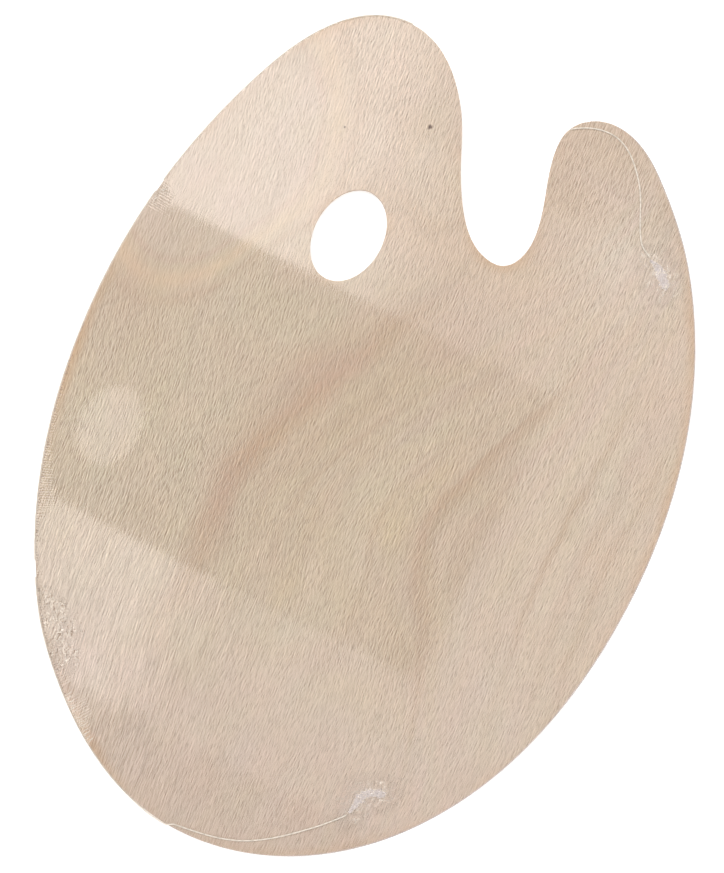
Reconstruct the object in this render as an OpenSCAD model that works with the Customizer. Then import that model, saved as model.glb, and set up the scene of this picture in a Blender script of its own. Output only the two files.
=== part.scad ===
// Oval mixing palette: a three-ply board with a thumb hole and a finger notch,
// sealed in clear shrink film that is trimmed flush at the hole and the notch.
//
// Frame: millimetres, +Z up. The board lies flat, painting face up, in the middle of its
// own bounding box, with its underside on z = 0 and the notch at the +Y end.

/* [Board] */
// Width of the board, across the grain
board_w = 298; // [240:1:360]
// Length of the board, along the grain
board_l = 400; // [320:1:480]
// Thickness of the front and back veneers
veneer_t = 0.9; // [0.6:0.1:1.6]
// Thickness of the cross-grained core veneer
core_t = 1.0; // [0.8:0.1:2.4]
// Thickness of each glue line
glue_t = 0.1; // [0.05:0.05:0.2]

/* [Thumb hole] */
// Width of the oval thumb hole
thumb_w = 33.5; // [28:0.5:38]
// Length of the oval thumb hole
thumb_l = 47; // [38:0.5:54]
// Centre of the thumb hole from the middle of the board, across the grain
thumb_x = -52.3; // [-56:0.1:-48]
// Centre of the thumb hole from the middle of the board, along the grain
thumb_y = 94.7; // [88:0.1:100]
// Lean of the thumb hole towards the notch, in degrees
thumb_lean = 3; // [0:1:10]

/* [Shrink film] */
// Thickness of the shrink film
film_t = 0.05; // [0.03:0.01:0.1]
// Diameter of the welded bead along a film seam
weld_d = 0.7; // [0.5:0.1:1]
// Height of the film gathered at the two folded corners
gather_h = 1.2; // [0.8:0.1:2]
// Height of the film crumpled at the two welded corners
crumple_h = 0.6; // [0.4:0.1:1]

/* [Fineness] */
// Straight steps between two anchors of the outline
outline_steps = 12; // [8:1:20]
// Straight steps around the thumb hole
hole_steps = 72; // [48:4:96]

/* [Hidden] */

// The outline runs anticlockwise through these anchors, drawn for a 298 x 400 blank.
// Each anchor is [x, y, heading], and the heading is in degrees from +X.
DRAWN_W = 298;
DRAWN_L = 400;
OUTLINE = [
    [3, -200, 0],      // foot
    [103, -149, 51],
    [149, 1, 90],      // widest, on the notch's side
    [105, 150, 125],
    [70, 187, 140],
    [40, 200, 181],    // crown of the small lobe
    [19, 181, 270],
    [29, 132, 270],
    [17, 114, 180],    // floor of the finger notch
    [-15, 142, 119],
    [-31, 174, 124],
    [-70, 200, 180],   // crown of the thumb lobe
    [-124, 149, 248],
    [-149, 24, 270],   // widest, on the thumb's side
    [-107, -132, 303],
    [-75, -167, 319]
];
SMALL_CROWN = 5;   // anchor where the rim ends and the notch begins
THUMB_CROWN = 11;  // anchor where the notch ends and the rim begins again

// The weld across the small lobe, from the notch to the right-hand gather.
TOP_WELD = [[21, 188.6, 38], [39.5, 195.4, 0], [62, 180.5, 308], [76, 155, 305], [83, 150.1, 325]];
// The weld across the foot, from the rim to the bottom gather.
BOTTOM_WELD = [[-1, -198.2, 8], [26, -193.1, 18], [59, -170.8, 43], [72, -157, 50]];
// Outline anchors between which the welds run along the rim.
UPPER_CORNER = 12.62;
LEFT_CORNER = 13.92;
FOOT_CROSSING = 15.95;

// Where the film is bunched: [x, y, half the width] along each bunch.
RIGHT_GATHER = [[84.6, 149, 0.9], [90.6, 146.1, 2.6], [95.6, 141.8, 1.5]];
BOTTOM_GATHER = [[72.8, -155, 0.9], [74.4, -146.5, 2.8], [76, -143, 2.6], [83, -140, 2.3]];
LEFT_CRUMPLE = [[-102.6, -130.2, 2], [-91, -138.4, 5], [-84, -145, 4]];
UPPER_CRUMPLE = [[-142.2, 75, 0.8], [-143.2, 69.5, 1.5]];

BOARD_T = 2 * veneer_t + core_t + 2 * glue_t;
BACK_Z = film_t;                     // underside of the back veneer
FRONT_Z = film_t + BOARD_T;          // painting face of the front veneer
TOP_Z = FRONT_Z + film_t;            // outside of the film on the painting face
RIM_Z = BACK_Z + BOARD_T / 2;        // half-way up the board's edge
WELD_R = weld_d / 2;
TUBE_SIDES = 8;
FIT_GAP = 0.05;                      // clearance between neighbouring film details

BEECH = [0.86, 0.76, 0.65];
CORE = [0.80, 0.68, 0.54];
GLUE = [0.62, 0.45, 0.28];
FILM = [0.93, 0.95, 0.97, 0.25];
FROSTED = [0.93, 0.93, 0.94, 0.8];

// ---- curves ----

// Signed change of heading from anchor a to anchor b.
function turn(a, b) = ((b[2] - a[2] + 540) % 360) - 180;

// Handle length that makes a curve between two anchors as round as an arc.
function handle(a, b) =
    let (
        chord = norm([b.x - a.x, b.y - a.y]),
        bend = abs(turn(a, b))
    )
    bend < 1 ? chord / 3 : chord * (2 / 3) * tan(bend / 4) / sin(bend / 2);

function heading(angle) = [cos(angle), sin(angle)];

function cubic(p, q, r, s, t) =
    pow(1 - t, 3) * p + 3 * pow(1 - t, 2) * t * q + 3 * (1 - t) * t * t * r + pow(t, 3) * s;

// Point at the share t of the curve from anchor a to anchor b.
function between(a, b, t) =
    let (
        start = [a.x, a.y],
        end = [b.x, b.y],
        h = handle(a, b)
    )
    cubic(start, start + h * heading(a[2]), end - h * heading(b[2]), end, t);

function fitted(p) = [p.x * board_w / DRAWN_W, p.y * board_l / DRAWN_L];

// Point of the outline at a place such as 3.5, half-way from anchor 3 to anchor 4.
function rim_point(place) =
    let (
        count = len(OUTLINE),
        whole = floor(place),
        a = OUTLINE[whole % count],
        b = OUTLINE[(whole + 1) % count]
    )
    fitted(between(a, b, place - whole));

// Outward normal of the outline at a place.
function rim_normal(place) =
    let (
        step = 0.02,
        along = rim_point(place + step) - rim_point(place - step + len(OUTLINE))
    )
    [along.y, -along.x] / norm(along);

function proud_point(place, out) = rim_point(place) + out * rim_normal(place);

// Places from one to another, with the outline's own spacing.
function places(from, to) = [for (i = [0 : ceil((to - from) * outline_steps)])
    min(to, from + i / outline_steps)];

// Points along an open chain of anchors, both ends included.
function chain(anchors, steps) = concat(
    [for (i = [0 : len(anchors) - 2], k = [0 : steps - 1])
        between(anchors[i], anchors[i + 1], k / steps)],
    [[anchors[len(anchors) - 1].x, anchors[len(anchors) - 1].y]]
);

// ---- outlines ----

ALL_PLACES = [for (i = [0 : len(OUTLINE) * outline_steps - 1]) i / outline_steps];

function in_notch(place) = place > SMALL_CROWN && place < THUMB_CROWN;

module board_outline() {
    polygon([for (p = ALL_PLACES) rim_point(p)]);
}

// The film stands proud of the rim and is flush with the board in the notch.
module film_outline() {
    polygon([for (p = ALL_PLACES) proud_point(p, in_notch(p) ? 0 : film_t)]);
}

module rim_band_outline() {
    rim = places(THUMB_CROWN, SMALL_CROWN + len(OUTLINE));
    polygon(concat(
        [for (p = rim) proud_point(p, film_t)],
        [for (k = [len(rim) - 1 : -1 : 0]) rim_point(rim[k])]
    ));
}

module thumb_outline() {
    translate(fitted([thumb_x, thumb_y])) rotate(-thumb_lean)
        polygon([for (i = [0 : hole_steps - 1])
            let (angle = 360 * i / hole_steps)
            [thumb_w / 2 * cos(angle), thumb_l / 2 * sin(angle)]]);
}

// A layer of the board, from z = low and t thick.
module layer(low, t) {
    translate([0, 0, low]) difference() {
        linear_extrude(t) board_outline();
        translate([0, 0, -1]) linear_extrude(t + 2) thumb_outline();
    }
}

module film_sheet(low) {
    translate([0, 0, low]) difference() {
        linear_extrude(film_t) film_outline();
        translate([0, 0, -1]) linear_extrude(film_t + 2) thumb_outline();
    }
}

// The strips of the painting face that lie outside the two welds. The back film turns over
// the rim and covers them.
module turned_over_strips() {
    reach = 60;
    top = [for (p = chain(TOP_WELD, 6)) fitted(p)];
    foot = [for (p = chain(BOTTOM_WELD, 6)) fitted(p)];
    translate([0, 0, FRONT_Z - 1]) linear_extrude(film_t + 2) {
        polygon(concat([top[0] + [-reach / 4, reach / 4]], top,
            [top[len(top) - 1] + [reach, -reach / 6], [board_w, board_l] * 0.7]));
        polygon(concat([foot[0] + [-reach / 4, -reach / 12]], foot,
            [foot[len(foot) - 1] + [reach * 0.9, -reach / 6], [board_w * 0.3, -board_l * 0.7]]));
    }
}

// ---- tubes and bunches ----

// Direction of a path at its point i.
function path_heading(path, i) =
    let (step = path[min(i + 1, len(path) - 1)] - path[max(i - 1, 0)])
    step / norm(step);

// A tube along a path that is never vertical. Its flats are the radius away from the path.
module tube(path, radius) {
    corner = radius / cos(180 / TUBE_SIDES);
    rings = len(path);
    points = [for (i = [0 : rings - 1], k = [0 : TUBE_SIDES - 1])
        let (
            ahead = path_heading(path, i),
            side = cross([0, 0, 1], ahead) / norm(cross([0, 0, 1], ahead)),
            up = cross(ahead, side),
            angle = 360 * (k + 0.5) / TUBE_SIDES
        )
        path[i] + corner * (cos(angle) * side + sin(angle) * up)];
    walls = [for (i = [0 : rings - 2], k = [0 : TUBE_SIDES - 1])
        let (
            next = (k + 1) % TUBE_SIDES,
            a = i * TUBE_SIDES,
            b = a + TUBE_SIDES
        )
        [a + k, b + k, b + next, a + next]];
    first = [[for (k = [0 : TUBE_SIDES - 1]) k]];
    last = [[for (k = [TUBE_SIDES - 1 : -1 : 0]) (rings - 1) * TUBE_SIDES + k]];
    polyhedron(points, concat(walls, first, last));
}

// Path along the middle of the rim, with the tube's wall on the film.
function rim_run(from, to) = [for (p = places(from, to))
    let (q = proud_point(p, film_t + WELD_R))
    [q.x, q.y, RIM_Z]];

// Path of a weld on the painting face.
function face_run(anchors) = [for (p = chain(anchors, 8))
    let (q = fitted(p))
    [q.x, q.y, TOP_Z + WELD_R]];

// Path from the middle of the rim up over the edge, while it moves on along the rim.
function over_the_edge(from, to) = [for (i = [1 : 8])
    let (
        share = i / 9,
        tilt = 90 * max(0, share * 2 - 1),
        rise = min(1, share * 2),
        q = proud_point(from + (to - from) * share, (film_t + WELD_R) * cos(tilt))
    )
    [q.x, q.y, RIM_Z + (TOP_Z - RIM_Z) * rise + WELD_R * sin(tilt)]];

// Film bunched into a low flat-topped mound on the painting face.
module bunch(spots, height) {
    for (i = [0 : len(spots) - 2])
        hull() for (s = [spots[i], spots[i + 1]])
            translate([fitted(s).x, fitted(s).y, TOP_Z])
                cylinder(h = height, r1 = s[2], r2 = s[2] * 0.6, $fn = 32);
}

// ---- nodes ----

module film_back() {
    color(FILM) {
        film_sheet(0);
        translate([0, 0, film_t]) linear_extrude(BOARD_T) rim_band_outline();
        intersection() {
            film_sheet(FRONT_Z);
            turned_over_strips();
        }
    }
}

module back_veneer() {
    color(BEECH) layer(BACK_Z, veneer_t);
}

module back_glue_line() {
    color(GLUE) layer(BACK_Z + veneer_t, glue_t);
}

module core_veneer() {
    color(CORE) layer(BACK_Z + veneer_t + glue_t, core_t);
}

module front_glue_line() {
    color(GLUE) layer(FRONT_Z - veneer_t - glue_t, glue_t);
}

module front_veneer() {
    color(BEECH) layer(FRONT_Z - veneer_t, veneer_t);
}

module film_front() {
    color(FILM) difference() {
        film_sheet(FRONT_Z);
        turned_over_strips();
    }
}

module film_weld_top() {
    color(FROSTED) {
        tube(face_run(TOP_WELD), WELD_R);
        tube(rim_run(THUMB_CROWN, UPPER_CORNER - FIT_GAP), WELD_R);
    }
}

module film_weld_left() {
    color(FROSTED) tube(rim_run(UPPER_CORNER, LEFT_CORNER - FIT_GAP), WELD_R);
}

module film_weld_bottom() {
    climb = 0.3;
    color(FROSTED) tube(concat(
        rim_run(LEFT_CORNER, FOOT_CROSSING - climb),
        over_the_edge(FOOT_CROSSING - climb, FOOT_CROSSING),
        face_run(BOTTOM_WELD)
    ), WELD_R);
}

module corner_gather_right() {
    color(FROSTED) bunch(RIGHT_GATHER, gather_h);
}

module corner_gather_bottom() {
    color(FROSTED) bunch(BOTTOM_GATHER, gather_h);
}

module corner_crumple_left() {
    color(FROSTED) bunch(LEFT_CRUMPLE, crumple_h);
}

module corner_crumple_upper() {
    color(FROSTED) bunch(UPPER_CRUMPLE, crumple_h);
}

film_back();
back_veneer();
back_glue_line();
core_veneer();
front_glue_line();
front_veneer();
film_front();
film_weld_top();
film_weld_left();
film_weld_bottom();
corner_gather_right();
corner_gather_bottom();
corner_crumple_left();
corner_crumple_upper();
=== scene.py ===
"""Looks of an oval mixing palette: a three-ply board sealed in clear shrink film.

The board is five layers (two face veneers, a cross-grained core and two glue lines). The film is a
front and a back sheet with a welded bead along its seams, and it is crushed at its four corners.
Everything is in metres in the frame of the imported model: +Z up, the painting face up.
"""

import logging
import math
from collections.abc import Callable, Sequence
from dataclasses import dataclass
from enum import Enum
from typing import NamedTuple

import bmesh
import bpy
import numpy as np
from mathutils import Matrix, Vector, geometry, kdtree


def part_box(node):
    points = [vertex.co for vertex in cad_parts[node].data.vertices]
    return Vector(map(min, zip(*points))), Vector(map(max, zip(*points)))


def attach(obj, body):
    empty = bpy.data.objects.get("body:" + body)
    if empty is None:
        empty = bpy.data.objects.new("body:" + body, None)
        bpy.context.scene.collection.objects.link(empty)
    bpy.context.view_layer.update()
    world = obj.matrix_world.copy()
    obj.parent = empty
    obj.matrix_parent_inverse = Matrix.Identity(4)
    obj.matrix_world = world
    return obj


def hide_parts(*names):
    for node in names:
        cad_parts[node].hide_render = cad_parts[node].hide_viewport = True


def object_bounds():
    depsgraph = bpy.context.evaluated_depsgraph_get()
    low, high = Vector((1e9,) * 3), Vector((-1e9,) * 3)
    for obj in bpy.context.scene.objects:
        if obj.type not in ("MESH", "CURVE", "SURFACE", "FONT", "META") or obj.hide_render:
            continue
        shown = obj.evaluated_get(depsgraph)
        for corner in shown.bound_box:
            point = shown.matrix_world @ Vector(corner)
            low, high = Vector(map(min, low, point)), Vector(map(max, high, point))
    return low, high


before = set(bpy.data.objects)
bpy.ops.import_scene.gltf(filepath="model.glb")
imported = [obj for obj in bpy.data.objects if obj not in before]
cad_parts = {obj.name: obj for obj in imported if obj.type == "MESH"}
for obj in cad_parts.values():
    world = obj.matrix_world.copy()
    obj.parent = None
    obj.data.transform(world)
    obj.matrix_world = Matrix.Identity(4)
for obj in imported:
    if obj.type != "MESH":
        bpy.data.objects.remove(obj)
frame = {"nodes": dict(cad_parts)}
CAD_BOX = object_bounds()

LOG = logging.getLogger("mixing_palette")
BODY = "root"
MM = 0.001
HAIR = 1e-6          # points closer than this are one point
FULL_TURN = 360
HALF_TURN = 180
STRAIGHT = math.radians(1)    # a line that bends less than this counts as straight
RIM_ATTRIBUTE = "rim_distance"
SAWN_ATTRIBUTE = "sawn_edge"
PIN_ATTRIBUTE = "pin_mark"
CRUSH_ATTRIBUTE = "crush"
MILK_ATTRIBUTE = "milk"
# Painted shade at 0, plain milk at 0.5 and painted highlight at 1 of crushed film.
SHADE_HIGHLIGHT_ATTRIBUTE = "milk_tone"


# ---- drawn lines ----


class Anchor(NamedTuple):
    """A point that a line passes through, in millimetres, and its heading in degrees from +X."""

    x: float
    y: float
    heading: float


DRAWN_SIZE = (298.0, 400.0)
RIM_ANCHORS = (
    Anchor(3, -200, 0), Anchor(103, -149, 51), Anchor(149, 1, 90), Anchor(105, 150, 125),
    Anchor(70, 187, 140), Anchor(40, 200, 181), Anchor(19, 181, 270), Anchor(29, 132, 270),
    Anchor(17, 114, 180), Anchor(-15, 142, 119), Anchor(-31, 174, 124), Anchor(-70, 200, 180),
    Anchor(-124, 149, 248), Anchor(-149, 24, 270), Anchor(-107, -132, 303), Anchor(-75, -167, 319),
)
TOP_WELD_ANCHORS = (
    Anchor(21, 188.6, 38), Anchor(39.5, 195.4, 0), Anchor(62, 180.5, 308), Anchor(76, 155, 305),
    Anchor(83, 150.1, 325),
)
BOTTOM_WELD_ANCHORS = (
    Anchor(-1, -198.2, 8), Anchor(26, -193.1, 18), Anchor(59, -170.8, 43), Anchor(72, -157, 50),
)


class Place(Enum):
    """Places along the rim, counted in anchors."""

    SMALL_CROWN = 5.0
    NOTCH_SIDE = 7.0
    THUMB_CROWN = 11.0
    UPPER_CORNER = 12.62
    LEFT_CORNER = 13.92
    FOOT_CROSSING = 15.95


@dataclass(frozen=True)
class DrawnLine:
    """A smooth line through anchors, fitted to the real size of the board."""

    anchors: tuple[Anchor, ...]
    fit: tuple[float, float]
    closed: bool = False
    near: float = 0.01     # step that shows the line's direction, in anchors
    steps: int = 400       # steps from one anchor to the next when lengths are measured

    def points(self, places: np.ndarray) -> np.ndarray:
        """Points at places such as 3.5, half-way from anchor 3 to anchor 4.

        Args:
            places: Places, counted in anchors.

        Returns:
            One row of x and y in metres for each place.
        """
        table = np.array(self.anchors, float)
        count = len(table)
        places = np.asarray(places, float)
        first = np.floor(places).astype(int)
        if not self.closed:
            first = np.clip(first, 0, count - 2)
        share = (places - first)[:, None]
        a, b = table[first % count], table[(first + 1) % count]
        chord = np.hypot(*(b[:, :2] - a[:, :2]).T)
        bend = np.radians(np.abs((b[:, 2] - a[:, 2] + HALF_TURN + FULL_TURN) % FULL_TURN - HALF_TURN))
        round_bend = np.maximum(bend, STRAIGHT)
        reach = np.where(bend < STRAIGHT, chord / 3,
                         chord * (2 / 3) * np.tan(round_bend / 4) / np.sin(round_bend / 2))[:, None]
        out_a, out_b = [np.stack([np.cos(h), np.sin(h)], 1) for h in np.radians([a[:, 2], b[:, 2]])]
        start, end = a[:, :2], b[:, :2]
        left = 1 - share
        curve = (left**3 * start + 3 * left**2 * share * (start + reach * out_a)
                 + 3 * left * share**2 * (end - reach * out_b) + share**3 * end)
        return curve * np.array(self.fit)

    def outward(self, places: np.ndarray) -> np.ndarray:
        """Unit vectors that point to the right of the line, which is outwards on the rim.

        Args:
            places: Places, counted in anchors.

        Returns:
            One row of x and y for each place.
        """
        before, after = places - self.near, places + self.near
        if not self.closed:
            last = len(self.anchors) - 1
            before, after = np.clip(before, 0, last), np.clip(after, 0, last)
        along = self.points(after) - self.points(before)
        return np.stack([along[:, 1], -along[:, 0]], 1) / np.hypot(*along.T)[:, None]

    def spaced(self, start: float, stop: float,
               spacing: Callable[[np.ndarray], np.ndarray]) -> np.ndarray:
        """Places whose points lie a given distance apart.

        Args:
            start: First place.
            stop: Last place.
            spacing: Gives the distance in metres wanted at each place.

        Returns:
            The places, both ends included.
        """
        fine = np.linspace(start, stop, int((stop - start) * self.steps) + 2)
        steps = np.hypot(*np.diff(self.points(fine), axis=0).T)
        run = np.concatenate([[0], np.cumsum(steps / spacing((fine[1:] + fine[:-1]) / 2))])
        return np.interp(np.linspace(0, run[-1], max(3, round(run[-1]) + 1)), run, fine)


@dataclass(frozen=True)
class ThumbHole:
    """The oval thumb hole, in millimetres and degrees."""

    centre: tuple[float, float] = (-52.3, 94.7)
    size: tuple[float, float] = (33.5, 47.0)
    lean: float = 3.0
    steps: int = 180

    def loop(self, fit: tuple[float, float], grow: float = 0.0) -> np.ndarray:
        """Points round the hole, anticlockwise.

        Args:
            fit: Share of the drawn size that the board really has, across and along.
            grow: How far outside the hole's edge the points lie, in metres.

        Returns:
            One row of x and y in metres for each point.
        """
        angle = np.linspace(0, 2 * np.pi, self.steps, endpoint=False)
        half = np.array(self.size) * MM / 2 + grow
        oval = np.stack([half[0] * np.cos(angle), half[1] * np.sin(angle)], 1)
        turn = math.radians(-self.lean)
        spin = np.array([[math.cos(turn), math.sin(turn)], [-math.sin(turn), math.cos(turn)]])
        return oval @ spin + np.array(self.centre) * np.array(fit)


# ---- unevenness ----


class Ripple:
    """Smooth seeded unevenness: the sum of waves of several lengths in random directions."""

    def __init__(self, seed: int, shortest: float, longest: float, waves: int = 14) -> None:
        """Draws the waves.

        Args:
            seed: Seed of the random directions.
            shortest: Shortest wave in metres.
            longest: Longest wave in metres.
            waves: How many waves are added.
        """
        rng = np.random.default_rng(seed)
        lengths = np.geomspace(shortest, longest, waves)
        angles = rng.uniform(0, 2 * np.pi, waves)
        self.turns = 2 * np.pi / lengths * np.array([np.cos(angles), np.sin(angles)])
        self.start = rng.uniform(0, 2 * np.pi, waves)
        weights = np.sqrt(lengths)
        self.weights = weights / np.sqrt((weights**2).sum() / 2)

    def at(self, points: np.ndarray) -> np.ndarray:
        """Unevenness at each row of x and y, mostly between -2 and 2."""
        return np.sin(points @ self.turns + self.start) @ self.weights


def zigzag(turns: np.ndarray) -> np.ndarray:
    """A wave of straight slopes between -1 and 1, one for each whole turn."""
    return 1 - 4 * np.abs(turns - np.floor(turns + 0.5))


class Creases:
    """Sharp folds of crushed film: straight-sided waves across random directions."""

    def __init__(self, seed: int, pitch: float, heading: float, spread: float, folds: int = 3) -> None:
        """Draws the folds.

        Args:
            seed: Seed of the random directions.
            pitch: Distance between two creases of one fold, in metres.
            heading: Direction that the creases run in, in degrees.
            spread: How far their directions differ from it, in degrees.
            folds: How many folds cross each other.
        """
        rng = np.random.default_rng(seed)
        across = np.radians(heading + 90 + rng.uniform(-spread, spread, folds))
        pitches = pitch * np.geomspace(0.9, 2.1, folds)
        self.turns = np.array([np.cos(across), np.sin(across)]) / pitches
        self.start = rng.uniform(0, 1, folds)
        self.weights = np.sqrt(pitches) / np.sqrt(pitches).sum()
        self.bends = [Ripple(seed + 7 * k, 3 * pitch, 9 * pitch, 6) for k in range(folds)]

    def at(self, points: np.ndarray) -> tuple[np.ndarray, np.ndarray, np.ndarray]:
        """Height and sharpness of the creases.

        Args:
            points: Rows of x and y in metres.

        Returns:
            The height between -1 and 1, and how near each point is to a crest and to a valley.
        """
        bend = np.stack([r.at(points) for r in self.bends], 1) * 0.22
        waves = zigzag(points @ self.turns + self.start + bend)
        crests = (np.clip((waves - 0.5) / 0.5, 0, 1) ** 1.5).max(1)
        valleys = (np.clip((-0.5 - waves) / 0.5, 0, 1) ** 1.5).max(1)
        return waves @ self.weights, crests, valleys


def eased(values: np.ndarray, low: float, high: float) -> np.ndarray:
    """0 below low, 1 above high and a soft step between, for low above high as well."""
    share = np.clip((values - low) / (high - low), 0, 1)
    return share * share * (3 - 2 * share)


# ---- meshes ----


def inside(points: np.ndarray, loop: np.ndarray) -> np.ndarray:
    """Whether each point lies inside a closed loop.

    Args:
        points: Rows of x and y.
        loop: Rows of x and y round the loop.

    Returns:
        One truth value for each point.
    """
    x, y = points[:, 0], points[:, 1]
    found = np.zeros(len(points), bool)
    for a, b in zip(loop, np.roll(loop, -1, axis=0), strict=True):
        if a[1] != b[1]:
            reach = (b[0] - a[0]) * (y - a[1]) / (b[1] - a[1]) + a[0]
            found ^= ((a[1] > y) != (b[1] > y)) & (x < reach)
    return found


def distances(points: np.ndarray, line: np.ndarray) -> np.ndarray:
    """How far each point is from the nearest point of a line, seen from above.

    Args:
        points: Rows that begin with x and y.
        line: Rows of x and y along the line.

    Returns:
        One distance for each point.
    """
    tree = kdtree.KDTree(len(line))
    for i, (x, y) in enumerate(line):
        tree.insert((x, y, 0), i)
    tree.balance()
    return np.array([tree.find((p[0], p[1], 0))[2] for p in points])


def even(pitch: float) -> Callable[[np.ndarray], np.ndarray]:
    """A spacing that is the same at every place of a line."""
    return lambda places: np.full(len(places), pitch)


def length_along(points: np.ndarray) -> np.ndarray:
    """How far along a line each of its points lies, seen from above."""
    return np.concatenate([[0], np.cumsum(np.hypot(*np.diff(points, axis=0).T))])


def scattered(loop: np.ndarray, pitch: float) -> np.ndarray:
    """Points of a honeycomb that lie inside a loop and clear of it.

    Args:
        loop: Rows of x and y round the loop.
        pitch: Distance between two points in metres.

    Returns:
        Rows of x and y.
    """
    low, high = loop.min(0), loop.max(0)
    rows = []
    for i, y in enumerate(np.arange(low[1], high[1], pitch * math.sqrt(3) / 2)):
        across = np.arange(low[0] + pitch / 2 * (i % 2), high[0], pitch)
        rows.append(np.column_stack([across, np.full(len(across), y)]))
    spots = np.concatenate(rows)
    spots = spots[inside(spots, loop)]
    return spots[distances(spots, loop) > pitch * 0.6]


def joined(loops: Sequence[np.ndarray], lines: Sequence[np.ndarray],
           loose: np.ndarray) -> tuple[np.ndarray, np.ndarray]:
    """Triangles through closed loops, open lines and loose points, all in one plane.

    Args:
        loops: Closed loops whose sides are kept.
        lines: Open lines whose sides are kept.
        loose: Points that lie anywhere.

    Returns:
        The points and the triangles, out to the convex outline.
    """
    points, sides, count = [], [], 0
    for run, closed in [(r, True) for r in loops] + [(r, False) for r in lines]:
        steps = len(run) if closed else len(run) - 1
        sides += [(count + i, count + (i + 1) % len(run)) for i in range(steps)]
        points.append(run)
        count += len(run)
    everything = np.concatenate([*points, loose]) if len(loose) else np.concatenate(points)
    made = geometry.delaunay_2d_cdt([Vector(p) for p in everything], sides, [], 0, HAIR / 10)
    return (np.array([tuple(p) for p in made[0]]),
            np.array([face for face in made[2] if len(face) == 3], int))


def new_object(name: str, data: bpy.types.ID) -> bpy.types.Object:
    """An object in the scene that holds a mesh, a camera or a light."""
    made = bpy.data.objects.new(name, data)
    bpy.context.scene.collection.objects.link(made)
    return made


class Blank:
    """Points and faces of one piece, collected before they become a mesh."""

    def __init__(self) -> None:
        """Starts with nothing."""
        self.points: list[np.ndarray] = []
        self.faces: list[list[int]] = []
        self.count = 0

    def add(self, points: np.ndarray, faces: Sequence[Sequence[int]]) -> None:
        """Adds points with x, y and z, and faces that number them from 0."""
        self.faces += [[int(i) + self.count for i in face] for face in faces]
        self.points.append(points)
        self.count += len(points)

    def add_grid(self, grid: np.ndarray, closed: bool) -> None:
        """Adds the quads between the rows of a grid.

        Args:
            grid: Points by row, by place in the row, with x, y and z.
            closed: Whether the last row joins the first.
        """
        rows, wide = grid.shape[:2]
        here = np.arange(rows * wide).reshape(rows, wide)
        ahead = np.roll(here, -1, axis=0)
        if not closed:
            here, ahead = here[:-1], ahead[:-1]
        faces = np.stack([here[:, :-1], ahead[:, :-1], ahead[:, 1:], here[:, 1:]], -1)
        self.add(grid.reshape(-1, 3), faces.reshape(-1, 4))

    def add_flat(self, points: np.ndarray, faces: np.ndarray, height: float) -> None:
        """Adds triangles that lie at one height."""
        self.add(np.column_stack([points, np.full(len(points), height)]), faces)

    def piece(self, name: str) -> bpy.types.Object:
        """Makes the object, with its doubles merged and its faces turned outwards.

        Args:
            name: Name of the object.

        Returns:
            The object, in the scene.
        """
        mesh = bpy.data.meshes.new(name)
        mesh.from_pydata(np.concatenate(self.points).tolist(), [], self.faces)
        work = bmesh.new()
        work.from_mesh(mesh)
        bmesh.ops.remove_doubles(work, verts=work.verts, dist=HAIR)
        bmesh.ops.recalc_face_normals(work, faces=work.faces)
        loose = [v for v in work.verts if not v.link_faces]
        bmesh.ops.delete(work, geom=loose, context="VERTS")
        work.to_mesh(mesh)
        work.free()
        return new_object(name, mesh)


def positions(piece: bpy.types.Object) -> np.ndarray:
    """The piece's points as rows of x, y and z."""
    found = np.empty(len(piece.data.vertices) * 3, np.float32)
    piece.data.vertices.foreach_get("co", found)
    return found.reshape(-1, 3).astype(float)


def place_points(piece: bpy.types.Object, points: np.ndarray) -> None:
    """Moves the piece's points to the given rows of x, y and z."""
    piece.data.vertices.foreach_set("co", points.astype(np.float32).ravel())
    piece.data.update()


def write_attribute(piece: bpy.types.Object, name: str, values: np.ndarray) -> None:
    """Gives each point of the piece a number that its finish reads."""
    made = piece.data.attributes.new(name, "FLOAT", "POINT")
    made.data.foreach_set("value", values.astype(np.float32))


def face_up(piece: bpy.types.Object, up: bool) -> None:
    """Turns an open sheet over if its level faces point the wrong way.

    Args:
        piece: The sheet.
        up: Whether its level faces should point up.
    """
    lean = sum(f.normal.z * f.area for f in piece.data.polygons)
    if (lean > 0) != up:
        piece.data.flip_normals()


def shade_soft(piece: bpy.types.Object, sharpest: float) -> None:
    """Shades the piece smoothly except across edges sharper than the given angle in degrees."""
    piece.data.shade_smooth()
    piece.data.set_sharp_from_angle(angle=math.radians(sharpest))


def settled(piece: bpy.types.Object) -> None:
    """Replaces the piece's mesh by the result of its modifiers, and removes them."""
    graph = bpy.context.evaluated_depsgraph_get()
    mesh = bpy.data.meshes.new_from_object(piece.evaluated_get(graph), depsgraph=graph,
                                           preserve_all_data_layers=True)
    mesh.name = piece.name
    piece.modifiers.clear()
    piece.data = mesh


def thicken(piece: bpy.types.Object, thickness: float) -> None:
    """Gives an open sheet a thickness behind its faces.

    Args:
        piece: The sheet.
        thickness: Thickness in metres.
    """
    wall = piece.modifiers.new("thickness", "SOLIDIFY")
    wall.thickness = thickness
    wall.offset = -1
    wall.use_even_offset = False
    settled(piece)


def hand_over(piece: bpy.types.Object, nodes: Sequence[str]) -> None:
    """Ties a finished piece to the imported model.

    Args:
        piece: The finished piece.
        nodes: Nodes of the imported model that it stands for.
    """
    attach(piece, BODY)
    if nodes:
        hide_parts(*nodes)
    mesh = piece.data
    LOG.info("%s: %d points, %d faces", piece.name, len(mesh.vertices), len(mesh.polygons))


# ---- node trees ----


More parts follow.
